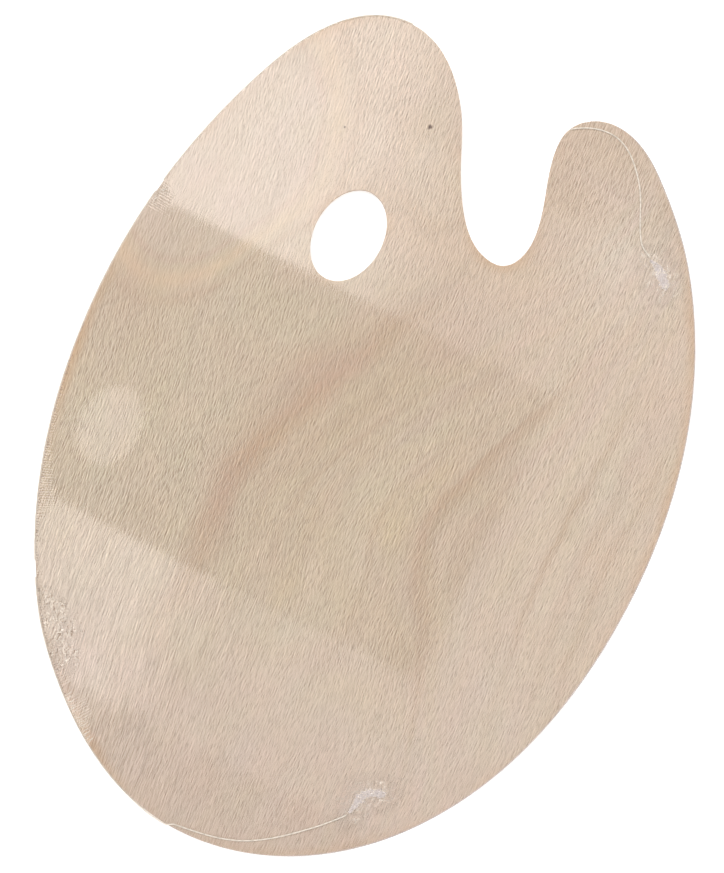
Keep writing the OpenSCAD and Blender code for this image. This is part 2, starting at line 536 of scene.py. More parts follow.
class Value:
    """A number in a node tree. Arithmetic on it adds Math nodes."""

    def __init__(self, tree: "Tree", socket: bpy.types.NodeSocket) -> None:
        """Wraps the socket that gives the number."""
        self.tree = tree
        self.socket = socket

    def __add__(self, other: "Value | float") -> "Value":
        """self + other."""
        return self.tree.maths("ADD", self, other)

    def __sub__(self, other: "Value | float") -> "Value":
        """self - other."""
        return self.tree.maths("SUBTRACT", self, other)

    def __rsub__(self, other: float) -> "Value":
        """other - self."""
        return self.tree.maths("SUBTRACT", other, self)

    def __mul__(self, other: "Value | float") -> "Value":
        """self * other."""
        return self.tree.maths("MULTIPLY", self, other)

    def __truediv__(self, other: "Value | float") -> "Value":
        """self / other."""
        return self.tree.maths("DIVIDE", self, other)

    def __neg__(self) -> "Value":
        """-self."""
        return self.tree.maths("MULTIPLY", self, -1.0)


Rgb = tuple[float, float, float]
Input = Value | bpy.types.NodeSocket | float | int | tuple | bpy.types.Material


class Tree:
    """Adds nodes to one node tree."""

    def __init__(self, nodes: bpy.types.NodeTree) -> None:
        """Takes the tree that the nodes go into."""
        self.nodes = nodes

    def add(self, kind: str, settings: dict[str, object] | None = None,
            inputs: dict[str | int, Input] | None = None) -> bpy.types.Node:
        """Adds a node.

        Args:
            kind: Type of the node.
            settings: Its settings, which are set first.
            inputs: What its sockets get: a number, a colour or another node's output.

        Returns:
            The node.
        """
        node = self.nodes.nodes.new(kind)
        for name, setting in (settings or {}).items():
            setattr(node, name, setting)
        for name, value in (inputs or {}).items():
            socket = node.inputs[name]
            given = value.socket if isinstance(value, Value) else value
            if isinstance(given, bpy.types.NodeSocket):
                self.nodes.links.new(given, socket)
            else:
                socket.default_value = given
        return node

    def maths(self, operation: str, *numbers: Value | float) -> Value:
        """Works out a number with one Math node."""
        node = self.add("ShaderNodeMath", {"operation": operation}, dict(enumerate(numbers)))
        return Value(self, node.outputs[0])

    def soft_step(self, value: Value, low: float, high: float) -> Value:
        """0 below low, 1 above high and a soft step between."""
        node = self.add("ShaderNodeMapRange", {"interpolation_type": "SMOOTHSTEP"},
                        {"Value": value, "From Min": low, "From Max": high})
        return Value(self, node.outputs[0])

    def bell(self, value: Value, middle: float, half: float) -> Value:
        """1 at the middle, falling off to about a third at half on each side."""
        away = (value - middle) / half
        return self.maths("EXPONENT", -(away * away))

    def vector(self, x: Value | float, y: Value | float, z: Value | float) -> bpy.types.NodeSocket:
        """A vector from three numbers."""
        return self.add("ShaderNodeCombineXYZ", None, {0: x, 1: y, 2: z}).outputs[0]

    def object_mm(self) -> tuple[Value, Value, Value]:
        """The place on the piece in millimetres, as three numbers."""
        place = self.add("ShaderNodeTexCoord").outputs["Object"]
        parts = self.add("ShaderNodeSeparateXYZ", None, {0: place})
        return tuple(Value(self, out) * (1 / MM) for out in parts.outputs)

    def noise(self, where: bpy.types.NodeSocket, detail: float = 2.0, roughness: float = 0.5) -> Value:
        """Cloudy noise around 0.5, one cloud to each unit of the vector."""
        node = self.add("ShaderNodeTexNoise", {"noise_dimensions": "3D"},
                        {"Vector": where, "Scale": 1.0, "Detail": detail, "Roughness": roughness})
        return Value(self, node.outputs[0])

    def hues(self, where: bpy.types.NodeSocket) -> bpy.types.NodeSocket:
        """Cloudy colour noise around mid grey, one cloud to each unit of the vector."""
        node = self.add("ShaderNodeTexNoise", {"noise_dimensions": "3D"},
                        {"Vector": where, "Scale": 1.0, "Detail": 1.0, "Roughness": 0.5})
        return node.outputs["Color"]

    def spots(self, where: bpy.types.NodeSocket, room: str = "3D") -> Value:
        """Distance to the nearest of scattered spots, about one to each unit of the vector."""
        node = self.add("ShaderNodeTexVoronoi", {"voronoi_dimensions": room, "feature": "F1"},
                        {"Vector": where, "Scale": 1.0})
        return Value(self, node.outputs["Distance"])

    def attribute(self, name: str) -> Value:
        """The number that each point of the piece was given."""
        node = self.add("ShaderNodeAttribute", {"attribute_name": name})
        return Value(self, node.outputs["Fac"])

    def blend(self, share: Value | float, a: Input, b: Input, how: str = "MIX") -> bpy.types.NodeSocket:
        """A colour between a and b, or the two combined in another way."""
        node = self.add("ShaderNodeMix", {"data_type": "RGBA", "blend_type": how, "clamp_factor": True},
                        {0: share, 6: a, 7: b})
        return node.outputs[2]

    def bump(self, height: Value) -> bpy.types.NodeSocket:
        """A normal bent by a height in millimetres."""
        node = self.add("ShaderNodeBump", None, {"Strength": 1.0, "Distance": MM, "Height": height})
        return node.outputs[0]


def linear(colour: Rgb, light: float = 1.0) -> tuple[float, float, float, float]:
    """The reflectance of a surface from how it looks on a screen.

    Args:
        colour: Red, green and blue from 0 to 255, as a screen shows them.
        light: How bright a white surface beside it would be.

    Returns:
        The linear colour with an alpha of 1.
    """
    shares = [c / 255 for c in colour]
    plain = [s / 12.92 if s <= 0.04045 else ((s + 0.055) / 1.055) ** 2.4 for s in shares]
    return (*[p / light for p in plain], 1.0)


def new_material(name: str) -> tuple[bpy.types.Material, Tree]:
    """An empty material with its node tree."""
    material = bpy.data.materials.new(name)
    material.use_nodes = True
    material.node_tree.nodes.clear()
    return material, Tree(material.node_tree)


def give_surface(tree: Tree, shader: bpy.types.NodeSocket) -> None:
    """Makes a shader the surface of the tree's material."""
    tree.add("ShaderNodeOutputMaterial", None, {"Surface": shader})


# ---- finishes ----

BOARD_LIGHT = 1.23   # how bright a white board would look under the studio's light
FILM_GLARE = 0.012   # light that the film adds over the wood everywhere


def bare(colour: Rgb) -> tuple[float, float, float, float]:
    """The reflectance of wood from how it looks on a screen through the film."""
    seen = linear(colour)
    return (*[(c - FILM_GLARE) / BOARD_LIGHT for c in seen[:3]], 1.0)


class Streak(NamedTuple):
    """A darker or paler streak of the figure."""

    across: float    # place across the figure, mm
    half: float      # half width, mm
    middle: float    # middle of its run along the board, mm
    reach: float     # half its run, mm
    strength: float
    colour: Rgb


class Patch(NamedTuple):
    """A soft patch of another colour."""

    x: float         # middle, mm
    y: float
    across: float    # half its width, mm
    along: float     # half its length, mm
    strength: float
    colour: Rgb


class Swirl(NamedTuple):
    """A place where the grain leans more or less than elsewhere."""

    x: float         # middle, mm
    y: float
    across: float    # half its width, mm
    along: float     # half its length, mm
    lean: float      # how much more the grain leans to the left in its middle


class Stain(NamedTuple):
    """A warm stain beside the rim."""

    x: float         # middle, mm
    y: float
    half: float      # half its run along the rim, mm
    strength: float


RUSSET = (194, 165, 142)
BROWN = (198, 174, 152)
OLIVE = (203, 183, 157)
KHAKI = (207, 187, 158)
UMBER = (196, 173, 149)
STRAW = (214, 197, 172)
ROSE = (203, 177, 160)
LILAC = (206, 188, 174)
STREAKS = (
    Streak(-64, 13, 26, 34, 0.80, BROWN),
    Streak(-28, 15, -5, 75, 0.70, OLIVE),
    Streak(-50, 9.0, -4, 96, 0.92, RUSSET),
    Streak(-47, 2.5, -10, 60, 0.50, UMBER),
    Streak(-31, 6.0, 22, 50, 0.50, UMBER),
    Streak(-17, 3.0, 0, 60, 0.60, UMBER),
    Streak(-7, 4, -35, 55, 0.45, KHAKI),
    Streak(5, 6, -45, 45, 0.60, STRAW),
    Streak(3, 9, 60, 25, 0.60, BROWN),
    Streak(15, 4, -20, 60, 0.40, STRAW),
    Streak(22, 1.8, -20, 55, 0.45, UMBER),
    Streak(31, 9, -10, 45, 0.75, KHAKI),
    Streak(47, 6, 5, 62, 0.85, UMBER),
    Streak(44, 2.4, 20, 70, 0.45, RUSSET),
    Streak(47, 5, -75, 55, 0.55, UMBER),
    Streak(58, 7, -65, 25, 0.40, OLIVE),
    Streak(66, 3, 40, 110, 0.30, ROSE),
    Streak(74, 4, -40, 60, 0.40, LILAC),
    Streak(82, 3, 80, 90, 0.35, LILAC),
    Streak(93, 6, 80, 70, 0.40, STRAW),
    Streak(104, 2.2, 0, 85, 0.85, UMBER),
    Streak(111, 4, -20, 90, 0.45, STRAW),
    Streak(120, 2.4, 0, 80, 0.50, BROWN),
    Streak(131, 2.8, -10, 70, 0.65, BROWN),
)
PATCHES = (
    Patch(85, 170, 9, 13, 0.60, (188, 162, 142)), Patch(-134, 22, 20, 20, 0.50, BROWN),
    Patch(61, -82, 10, 14, 0.45, UMBER), Patch(12, 50, 18, 36, 0.22, BROWN),
    Patch(70, -2, 13, 46, 0.40, UMBER), Patch(0, -34, 10, 24, 0.35, UMBER),
    Patch(14, 82, 30, 18, 0.35, ROSE),
    Patch(76, 152, 30, 32, 0.60, (219, 203, 189)), Patch(112, -80, 24, 40, 0.50, (207, 188, 174)),
)
SWIRLS = (
    Swirl(-8, -18, 26, 34, -0.115), Swirl(100, 0, 20, 40, -0.10), Swirl(50, -92, 36, 42, 0.085),
    Swirl(-72, -92, 34, 48, -0.085), Swirl(-110, 10, 40, 60, 0.05),
)
STAINS = (
    Stain(-146, -15, 42, 0.75), Stain(142, 60, 70, 0.55), Stain(-48, -172, 26, 0.60),
    Stain(20, 112, 26, 0.60), Stain(120, 122, 40, 0.55), Stain(-100, 178, 26, 0.40),
    Stain(60, -172, 60, 0.30),
)


class WoodPlace(NamedTuple):
    """A place on the wood, as numbers of a node tree, mostly in millimetres."""

    x: Value
    y: Value
    z: Value
    across: Value    # across the grain
    along: Value     # along the grain
    ring: Value      # across the figure
    loop: Value      # how far out of the bud, as a share of the loop's size


class Texture(NamedTuple):
    """Fine texture of the wood, as numbers of a node tree."""

    fibres: Value    # light and dark fibres, around 0
    tone: Value      # how much lighter than the figure, as a share, with painted shade and highlight along the fibres
    pore_highlights: Value    # 1 where the painted highlight at the right of a pore lies
    opened: Value    # 1 in a pore
    height: Value    # bump height, mm


@dataclass(frozen=True)
class VeneerFinish:
    """Sanded face veneer, peeled from a log: short dark pores, soft fibres and a curved figure."""

    name: str
    mirrored: bool = False
    mirror_shift: tuple[float, float] = (37.0, 61.0)    # of the mirrored back veneer, mm
    left_tone: Rgb = (205, 188, 166)
    right_tone: Rgb = (208, 188, 168)
    foot_tone: Rgb = (207, 186, 171)
    head_tone: Rgb = (209, 188, 168)
    loop_tone: Rgb = (217, 191, 163)
    bud_tone: Rgb = (207, 189, 172)
    pore_tone: Rgb = (150, 124, 100)
    pore_highlight_tone: Rgb = (232, 218, 200)
    rim_tone: Rgb = (201, 166, 132)
    sawn_tone: Rgb = (186, 156, 126)
    pin_tone: Rgb = (118, 92, 76)
    grain_lean: float = 0.108     # how far the grain leans to the left for each unit along
    grain_fan: float = -0.00033   # how the lean changes over the width, per mm
    pore_pitch: tuple[float, float] = (0.94, 6.4)
    fine_pitch: tuple[float, float] = (0.68, 4.4)
    fibre_pitch: tuple[float, float] = (0.58, 7.0)
    long_pitch: tuple[float, float] = (1.15, 19.0)
    highlight_offset: float = 0.46          # from a dark dash to its painted highlight at its right, mm
    dash: tuple[float, float] = (0.10, 0.36)      # where a dash starts and stops fading, in pitches
    loop_centre: tuple[float, float] = (-131.0, 108.0)      # middle of the bud, mm
    loop_half: tuple[float, float] = (56.0, 74.0)           # half the loop's width and length, mm
    loop_narrowing: float = 14.0                            # how much of that it loses at its foot, mm
    bow_top: float = 25.0         # how tightly the figure turns above its leftmost point, mm
    bow_foot: float = 15.0        # how tightly it turns below that point, mm

    def grain(self, tree: Tree, x: Value, y: Value) -> tuple[Value, Value]:
        """The place across and along the grain, in millimetres."""
        wander = (tree.noise(tree.vector(x / 55, y / 130, 3.0), 1.0) - 0.5) * 5.0
        across = x + y * self.grain_lean + x * y * self.grain_fan + wander
        for swirl in SWIRLS:
            share = tree.bell(x, swirl.x, swirl.across) * tree.bell(y, swirl.y, swirl.along)
            across = across + share * (y - swirl.y) * swirl.lean
        return across, y - x * self.grain_lean

    def bow(self, tree: Tree, at: Value, y: Value) -> Value:
        """How far a line of the figure has bowed to the right of its leftmost point."""
        rise = y - (at * 0.24 - 26.0)
        up, down = tree.maths("MAXIMUM", rise, 0.0), tree.maths("MAXIMUM", -rise - 4.0, 0.0)
        bent_up = tree.maths("SQRT", up * up + self.bow_top**2) - self.bow_top
        bent_down = tree.maths("SQRT", down * down + self.bow_foot**2) - self.bow_foot
        share_up = (tree.bell(at, -8, 24) * 0.20 + 0.43) * (1.0 - tree.soft_step(at, 52, 112)) + 0.03
        share_up = share_up * tree.soft_step(at, -115, -75)
        share_down = tree.bell(at, 42, 36) * 0.62 + tree.soft_step(at, 60, 110) * 0.12
        return bent_up * share_up + bent_down * share_down

    def figure(self, tree: Tree, x: Value, y: Value) -> Value:
        """The place across the figure, whose lines are bowed to the left in the middle."""
        ripple = (tree.noise(tree.vector(x / 18, y / 26, 14.0), 2.0) - 0.5) * 9
        return x - self.bow(tree, x - self.bow(tree, x, y), y) + ripple

    def make(self) -> bpy.types.Material:
        """Makes the material."""
        material, tree = new_material(self.name)
        x, y, z = tree.object_mm()
        if self.mirrored:
            x, y = x * -1.0 + self.mirror_shift[0], y + self.mirror_shift[1]
        across, along = self.grain(tree, x, y)
        at = WoodPlace(x, y, z, across, along, self.figure(tree, x, y), self.loop(tree, x, y))
        inner = 1.0 - tree.soft_step(at.loop, 0.80, 0.94)

        colour = self.with_figure(tree, at, self.slow_tones(tree, at))
        colour = self.with_loop(tree, at, inner, colour)
        for patch in PATCHES:
            share = tree.bell(x, patch.x, patch.across) * tree.bell(y, patch.y, patch.along)
            colour = tree.blend(share * patch.strength, colour, bare(patch.colour))
        hues = tree.add("ShaderNodeVectorMath", {"operation": "MULTIPLY_ADD"}, {
            0: tree.hues(tree.vector(at.ring / 15, y / 26, 11.0)), 1: (0.08, 0.06, 0.10),
            2: (0.96, 0.97, 0.95)}).outputs[0]
        colour = tree.blend(1.0, colour, hues, "MULTIPLY")

        calm = 1.0 - tree.bell(at.loop, 1.0, 0.13) * 0.5 - inner * 0.25
        texture = self.texture(tree, at, calm)
        tone = texture.tone
        colour = tree.blend(1.0, colour, tree.vector(tone + 1.0, tone * 1.06 + 1.0, tone * 1.15 + 1.0),
                            "MULTIPLY")
        # Painted highlight at the right of each pore.
        colour = tree.blend(texture.pore_highlights, colour, bare(self.pore_highlight_tone))
        # Dark pores: their own colour, and painted shade in their grooves.
        colour = tree.blend(texture.opened, colour, bare(self.pore_tone))
        colour = tree.blend(self.warmth(tree, x, y), colour, bare(self.rim_tone))
        colour = tree.blend(tree.attribute(SAWN_ATTRIBUTE) * 0.75, colour, bare(self.sawn_tone))
        colour = tree.blend(tree.attribute(PIN_ATTRIBUTE), colour, bare(self.pin_tone))
        bsdf = tree.add("ShaderNodeBsdfPrincipled", None, {
            "Base Color": colour,
            "Roughness": texture.fibres * 0.25 + texture.opened * 0.2 + 0.56,
            "Specular IOR Level": 0.3,
            "Normal": tree.bump(texture.height),
        })
        give_surface(tree, bsdf.outputs[0])
        return material

    def slow_tones(self, tree: Tree, at: WoodPlace) -> bpy.types.NodeSocket:
        """Tones that change slowly: left to right, then towards the foot and the head."""
        colour = tree.blend(tree.soft_step(at.x, -30, 95), bare(self.left_tone), bare(self.right_tone))
        colour = tree.blend(tree.soft_step(-at.y, 60, 170) * 0.8, colour, bare(self.foot_tone))
        return tree.blend(tree.soft_step(at.y, 60, 110), colour, bare(self.head_tone))

    @staticmethod
    def with_figure(tree: Tree, at: WoodPlace, colour: bpy.types.NodeSocket) -> bpy.types.NodeSocket:
        """Adds the streaks of the figure to the colour."""
        for streak in STREAKS:
            share = (tree.bell(at.ring, streak.across, streak.half)
                     * tree.bell(at.y, streak.middle, streak.reach))
            colour = tree.blend(share * streak.strength, colour, bare(streak.colour))
        return colour

    def loop(self, tree: Tree, x: Value, y: Value) -> Value:
        """How far out of the bud near the upper left a point lies; the pale loop round it is at 1."""
        below = tree.soft_step(-y, -self.loop_centre[1], -62)
        far_x = (x - self.loop_centre[0]) / (self.loop_half[0] - below * self.loop_narrowing)
        far_y = (y - self.loop_centre[1]) / self.loop_half[1]
        away = tree.maths("SQRT", far_x * far_x + far_y * far_y)
        return away + (tree.noise(tree.vector(x / 34, y / 34, 21.0), 1.0) - 0.5) * 0.07

    def with_loop(self, tree: Tree, at: WoodPlace, inner: Value,
                  colour: bpy.types.NodeSocket) -> bpy.types.NodeSocket:
        """Adds the bud, the pale loop round it and the darker lines beside the loop.

        Args:
            tree: Tree of the material.
            at: The place on the wood.
            inner: 1 inside the loop, 0 outside.
            colour: The colour so far.

        Returns:
            The new colour.
        """
        colour = tree.blend(inner * 0.8, colour, bare(self.bud_tone))
        strength = 0.64 - tree.soft_step(at.y, 60, 85) * 0.34
        colour = tree.blend(tree.bell(at.loop, 1.0, 0.065) * strength, colour, bare(self.loop_tone))
        colour = tree.blend(tree.bell(at.loop, 0.87, 0.028) * 0.45, colour, bare(ROSE))
        return tree.blend(tree.bell(at.loop, 1.15, 0.045) * 0.45, colour, bare(BROWN))

    def texture(self, tree: Tree, at: WoodPlace, calm: Value) -> Texture:
        """Streaks of growth, fibres and pores.

        Each dark dash has a painted highlight at its right, as if each pore were a groove lit from the left.

        Args:
            tree: Tree of the material.
            at: The place on the wood.
            calm: How strong the pores are, less than 1 round the bud.

        Returns:
            The texture.
        """
        x, y, along, right = at.x, at.y, at.along, at.across - self.highlight_offset
        head = tree.soft_step(y, 95, 130)
        left_foot = tree.soft_step(-y, 40, 90) * (1.0 - tree.soft_step(x, -55, 25))
        finer = tree.bell(y, 35, 55) * (1.0 - tree.soft_step(x, -35, 15)) * 0.22
        coarse = (1.03 - tree.soft_step(x, -95, 10) * 0.32 - tree.soft_step(x, 60, 120) * 0.12) * calm
        coarse = coarse * (1.0 - finer - tree.soft_step(-y, 80, 140) * 0.22)
        coarse = coarse + head * (1.0 - tree.soft_step(x, -110, -55)) * 0.2
        density = tree.noise(tree.vector(at.ring / 9, y / 60, 31.0), 2.0)
        shown = (density * 1.5 + 0.2) * coarse

        pores = self.pores(tree, at.across, along, self.pore_pitch)
        small = self.pores(tree, at.across, along, self.fine_pitch)
        opened = (pores * 0.40 + small * 0.26) * shown
        # Painted highlights: the dashes again, shifted to the right of each pore.
        pore_highlights = (self.pores(tree, right, along, self.pore_pitch) * 0.36
                  + self.pores(tree, right, along, self.fine_pitch) * 0.24)
        stripes, fewer = left_foot + head * 0.3, 1.0 - left_foot * 0.3
        pore_highlights = pore_highlights * fewer + self.pores(tree, right, along, self.long_pitch) * stripes * 0.35
        opened = opened * fewer + self.pores(tree, at.across, along, self.long_pitch) * stripes * 0.34

        fibres = self.fibres(tree, at.across, along, at.z)
        growth = tree.noise(tree.vector(at.ring / 3.6, y / 70, 5.0), 2.0, 0.6) - 0.5
        strands = tree.noise(tree.vector(at.across / 2.4, along / 42, 7.0), 2.0, 0.6) - 0.5
        combed = tree.noise(tree.vector(at.across / 0.62, along / 24, 51.0), 1.0, 0.6) - 0.5
        tone = growth * 0.15 + strands * 0.12
        # Painted shade and highlight: the fibres less a copy shifted to the right, as if lit from the left.
        tone = tone + (fibres - self.fibres(tree, right, along, at.z)) * 0.85 * coarse
        tone = tone + combed * (left_foot * 0.60 + 0.28)
        height = fibres * 0.10 - (pores * 0.12 + small * 0.07) * calm
        return Texture(fibres, tone, pore_highlights * shown, opened, height)

    @staticmethod
    def warmth(tree: Tree, x: Value, y: Value) -> Value:
        """How strongly the sanded rim is stained warm."""
        rim = tree.attribute(RIM_ATTRIBUTE) * (1 / MM)
        broken = tree.noise(tree.vector(x / 20, y / 20, 17.0), 2.0)
        warm = tree.soft_step(broken, 0.45, 0.75) * 0.4
        for stain in STAINS:
            near = tree.bell(x, stain.x, stain.half) * tree.bell(y, stain.y, stain.half)
            warm = tree.maths("MAXIMUM", warm, near * stain.strength)
        return warm * (1.0 - tree.soft_step(rim + broken * 4.0, 1.5, 8.5))

    def fibres(self, tree: Tree, across: Value, along: Value, z: Value) -> Value:
        """Light and dark fibres along the grain, around 0."""
        wide, far = self.fibre_pitch
        return tree.noise(tree.vector(across / wide, along / far, z / 0.5), 1.0, 0.6) - 0.5

    def pores(self, tree: Tree, across: Value, along: Value, pitch: tuple[float, float]) -> Value:
        """Short dashes along the grain.

        Args:
            tree: Tree of the material.
            across: Place across the grain, mm.
            along: Place along the grain, mm.
            pitch: Distance between two dashes across and along, mm.

        Returns:
            1 in a dash and 0 beside it.
        """
        where = tree.vector(across / pitch[0], along / pitch[1], 0.0)
        return 1.0 - tree.soft_step(tree.spots(where, "2D"), *self.dash)


@dataclass(frozen=True)
class CoreFinish:
    """Cross-grained core veneer, seen only along the sawn edges."""

    name: str = "core_veneer_wood"
    dark: Rgb = (164, 130, 98)
    pale: Rgb = (206, 178, 146)
    vessel: Rgb = (112, 84, 60)

    def make(self) -> bpy.types.Material:
        """Makes the material."""
        material, tree = new_material(self.name)
        x, y, z = tree.object_mm()
        fibres = tree.noise(tree.vector(x / 9, y / 0.8, z / 0.22), 3.0, 0.6)
        vessels = 1.0 - tree.soft_step(tree.spots(tree.vector(x / 1.6, y / 0.9, z / 0.35)), 0.12, 0.32)
        colour = tree.blend(tree.soft_step(fibres, 0.3, 0.7), bare(self.dark), bare(self.pale))
        colour = tree.blend(vessels * 0.5, colour, bare(self.vessel))
        bsdf = tree.add("ShaderNodeBsdfPrincipled", None, {
            "Base Color": colour,
            "Roughness": fibres * 0.3 + 0.6,
            "Specular IOR Level": 0.3,
            "Normal": tree.bump(fibres * 0.08 - vessels * 0.06),
        })
        give_surface(tree, bsdf.outputs[0])
        return material


@dataclass(frozen=True)
class GlueFinish:
    """Hardened amber glue between two veneers."""

    name: str = "glue"
    thin: Rgb = (150, 112, 74)
    thick: Rgb = (96, 64, 40)

    def make(self) -> bpy.types.Material:
        """Makes the material."""
        material, tree = new_material(self.name)
        x, y, z = tree.object_mm()
        runs = tree.noise(tree.vector(x / 2.2, y / 2.2, z / 0.3), 3.0, 0.6)
        bsdf = tree.add("ShaderNodeBsdfPrincipled", None, {
            "Base Color": tree.blend(tree.soft_step(runs, 0.35, 0.65), linear(self.thin), linear(self.thick)),
            "Roughness": runs * 0.3 + 0.3,
            "Normal": tree.bump(runs * 0.03),
        })
        give_surface(tree, bsdf.outputs[0])
        return material


@dataclass(frozen=True)
class FilmFinish:
    """Clear shrink film: see-through with a soft mirror, milky where it is crushed, with painted shade in the
    valleys and painted highlights on the crests of creases.
    """

    name: str
    ior: float = 1.62
    mirror_roughness: float = 0.04
    scuff: float = 0.012         # share of milk that clear film has everywhere
    valley_shade_tone: Rgb = (150, 130, 114)      # painted shade in the valleys between creases
    milk_tone: Rgb = (210, 202, 203)      # where many layers lie on each other
    crest_highlight_tone: Rgb = (252, 241, 226)     # painted highlight on the crests of creases
    crushed: bool = False        # whether the mirror fades where the film isn't crushed

    def make(self) -> bpy.types.Material:
        """Makes the material."""
        material, tree = new_material(self.name)
        x, y, z = tree.object_mm()
        waves = tree.noise(tree.vector(x / 14, y / 22, z / 14), 2.0, 0.5)
        normal = tree.bump(waves * 0.006)
        fresnel = Value(tree, tree.add("ShaderNodeFresnel", None, {"IOR": self.ior}).outputs[0])
        surface = tree.add("ShaderNodeNewGeometry")
        outer = 1.0 - Value(tree, surface.outputs["Backfacing"])
        slope = tree.add("ShaderNodeSeparateXYZ", None, {0: surface.outputs["True Normal"]}).outputs[2]
        top = outer * tree.maths("GREATER_THAN", Value(tree, slope), 0.0)
        shine = fresnel * outer
        milk = tree.attribute(MILK_ATTRIBUTE)
        if self.crushed:
            shine = shine * tree.attribute(CRUSH_ATTRIBUTE)
        else:
            milk = milk + self.scuff
        speckle = tree.noise(tree.vector(x / 0.7, y / 0.7, z / 0.7), 2.0, 0.6)
        clear = tree.add("ShaderNodeBsdfTransparent")
        gloss = tree.add("ShaderNodeBsdfGlossy", None,
                         {"Roughness": self.mirror_roughness, "Normal": normal})
        film = tree.add("ShaderNodeMixShader", None, {0: shine, 1: clear.outputs[0], 2: gloss.outputs[0]})
        # Painted shade, milk and painted highlight, chosen by the tone attribute.
        tone = tree.attribute(SHADE_HIGHLIGHT_ATTRIBUTE)
        shade = tree.blend(tree.maths("MINIMUM", tone * 2.0, 1.0), linear(self.valley_shade_tone, BOARD_LIGHT),
                           linear(self.milk_tone, BOARD_LIGHT))
        shade = tree.blend(tree.maths("MAXIMUM", tone * 2.0 - 1.0, 0.0), shade,
                           linear(self.crest_highlight_tone, BOARD_LIGHT))
        milky = tree.add("ShaderNodeBsdfPrincipled", None, {
            "Base Color": shade, "Roughness": speckle * 0.3 + 0.25, "Specular IOR Level": 0.3})
        whole = tree.add("ShaderNodeMixShader", None,
                         {0: tree.maths("MINIMUM", milk * (speckle * 0.5 + 0.75), 0.95) * top,
                          1: film.outputs[0], 2: milky.outputs[0]})
        give_surface(tree, whole.outputs[0])
        return material


@dataclass(frozen=True)
class WeldFinish:
    """The melted bead of a film seam: cream white and a little see-through."""

    name: str = "film_weld_bead"
    tone: Rgb = (250, 240, 226)
    thin_tone: Rgb = (244, 232, 217)
    cover: float = 0.68

    def make(self) -> bpy.types.Material:
        """Makes the material."""
        material, tree = new_material(self.name)
        x, y, z = tree.object_mm()
        lumps = tree.noise(tree.vector(x / 1.6, y / 1.6, z / 1.6), 2.0, 0.5)
        bsdf = tree.add("ShaderNodeBsdfPrincipled", None, {
            "Base Color": tree.blend(tree.soft_step(lumps, 0.35, 0.65), bare(self.thin_tone),
                                     bare(self.tone)),
            "Roughness": lumps * 0.25 + 0.2,
            "Alpha": tree.soft_step(lumps, 0.3, 0.6) * 0.16 + self.cover,
            "Normal": tree.bump(lumps * 0.05),
        })
        give_surface(tree, bsdf.outputs[0])
        return material


@dataclass(frozen=True)
class FloorFinish:
    """Plain white studio floor."""

    name: str = "studio_floor"
    glow: float = 0.25

    def make(self) -> bpy.types.Material:
        """Makes the material."""
        material, tree = new_material(self.name)
        bsdf = tree.add("ShaderNodeBsdfPrincipled", None,
                        {"Base Color": (0.92, 0.92, 0.92, 1.0), "Roughness": 0.9,
                         "Specular IOR Level": 0.1, "Emission Color": (1.0, 1.0, 1.0, 1.0),
                         "Emission Strength": self.glow})
        give_surface(tree, bsdf.outputs[0])
        return material


@dataclass(frozen=True)
class PanelFinish:
    """A large overhead light whose reflection in the film is a pale frame round a dark window."""

    name: str = "overhead_light"
    camera: tuple[float, float] = (-3.0, 10.5)     # place over the board that it is seen from, mm
    window: tuple[float, float, float] = (73.0, -83.0, 70.0)   # right, lower and upper side, mm
    frame: tuple[float, float] = (-160.0, 152.0)          # lower and upper end, mm
    head_fade: tuple[float, float] = (-82.0, 2.0)         # where the light over the head fades, mm
    foot_fade: tuple[float, float] = (-66.0, -26.0)
    spot: tuple[float, float, float, float] = (-114.7, -39.0, 15.2, 20.5)   # middle, half sizes, mm
    colour: tuple[float, float, float, float] = (1.0, 0.97, 0.96, 1.0)
    frame_light: float = 0.95
    head_light: float = 3.2
    foot_light: float = 1.9
    spot_light: float = 2.0
    window_light: float = 0.04

    def make(self) -> bpy.types.Material:
        """Makes the material."""
        material, tree = new_material(self.name)
        far_x, far_y, _ = tree.object_mm()
        x, y = (far_x + self.camera[0]) * 0.5, (far_y + self.camera[1]) * 0.5
        right, lower, upper = self.window
        foot, head = self.frame
        over = tree.soft_step(y, upper - 1, upper + 1)
        under = tree.soft_step(-y, -lower - 1, -lower + 1)
        open_side = tree.maths("MAXIMUM", tree.maths("MAXIMUM", over, under),
                               tree.soft_step(x, right - 4, right + 4))
        ends = 1.0 - tree.soft_step(y, head - 3, head + 3)
        ends = ends * (1.0 - tree.soft_step(-y, -foot - 5, -foot + 5))
        glow = open_side * (ends * 0.85 + 0.15) * self.frame_light
        at_head = over * (1.0 - tree.soft_step(x, *self.head_fade))
        glow = glow + at_head * self.head_light * (1.1 - ends * 0.1)
        at_foot = under * (1.0 - tree.soft_step(x, *self.foot_fade))
        glow = glow + at_foot * self.foot_light * ends
        off_x, off_y = (x - self.spot[0]) / self.spot[2], (y - self.spot[1]) / self.spot[3]
        spot = 1.0 - tree.soft_step(off_x * off_x + off_y * off_y, 0.92, 1.08)
        shine = tree.add("ShaderNodeEmission", None, {
            "Color": self.colour, "Strength": glow + spot * self.spot_light + self.window_light})
        give_surface(tree, shine.outputs[0])
        return material


# ---- geometry node trees ----


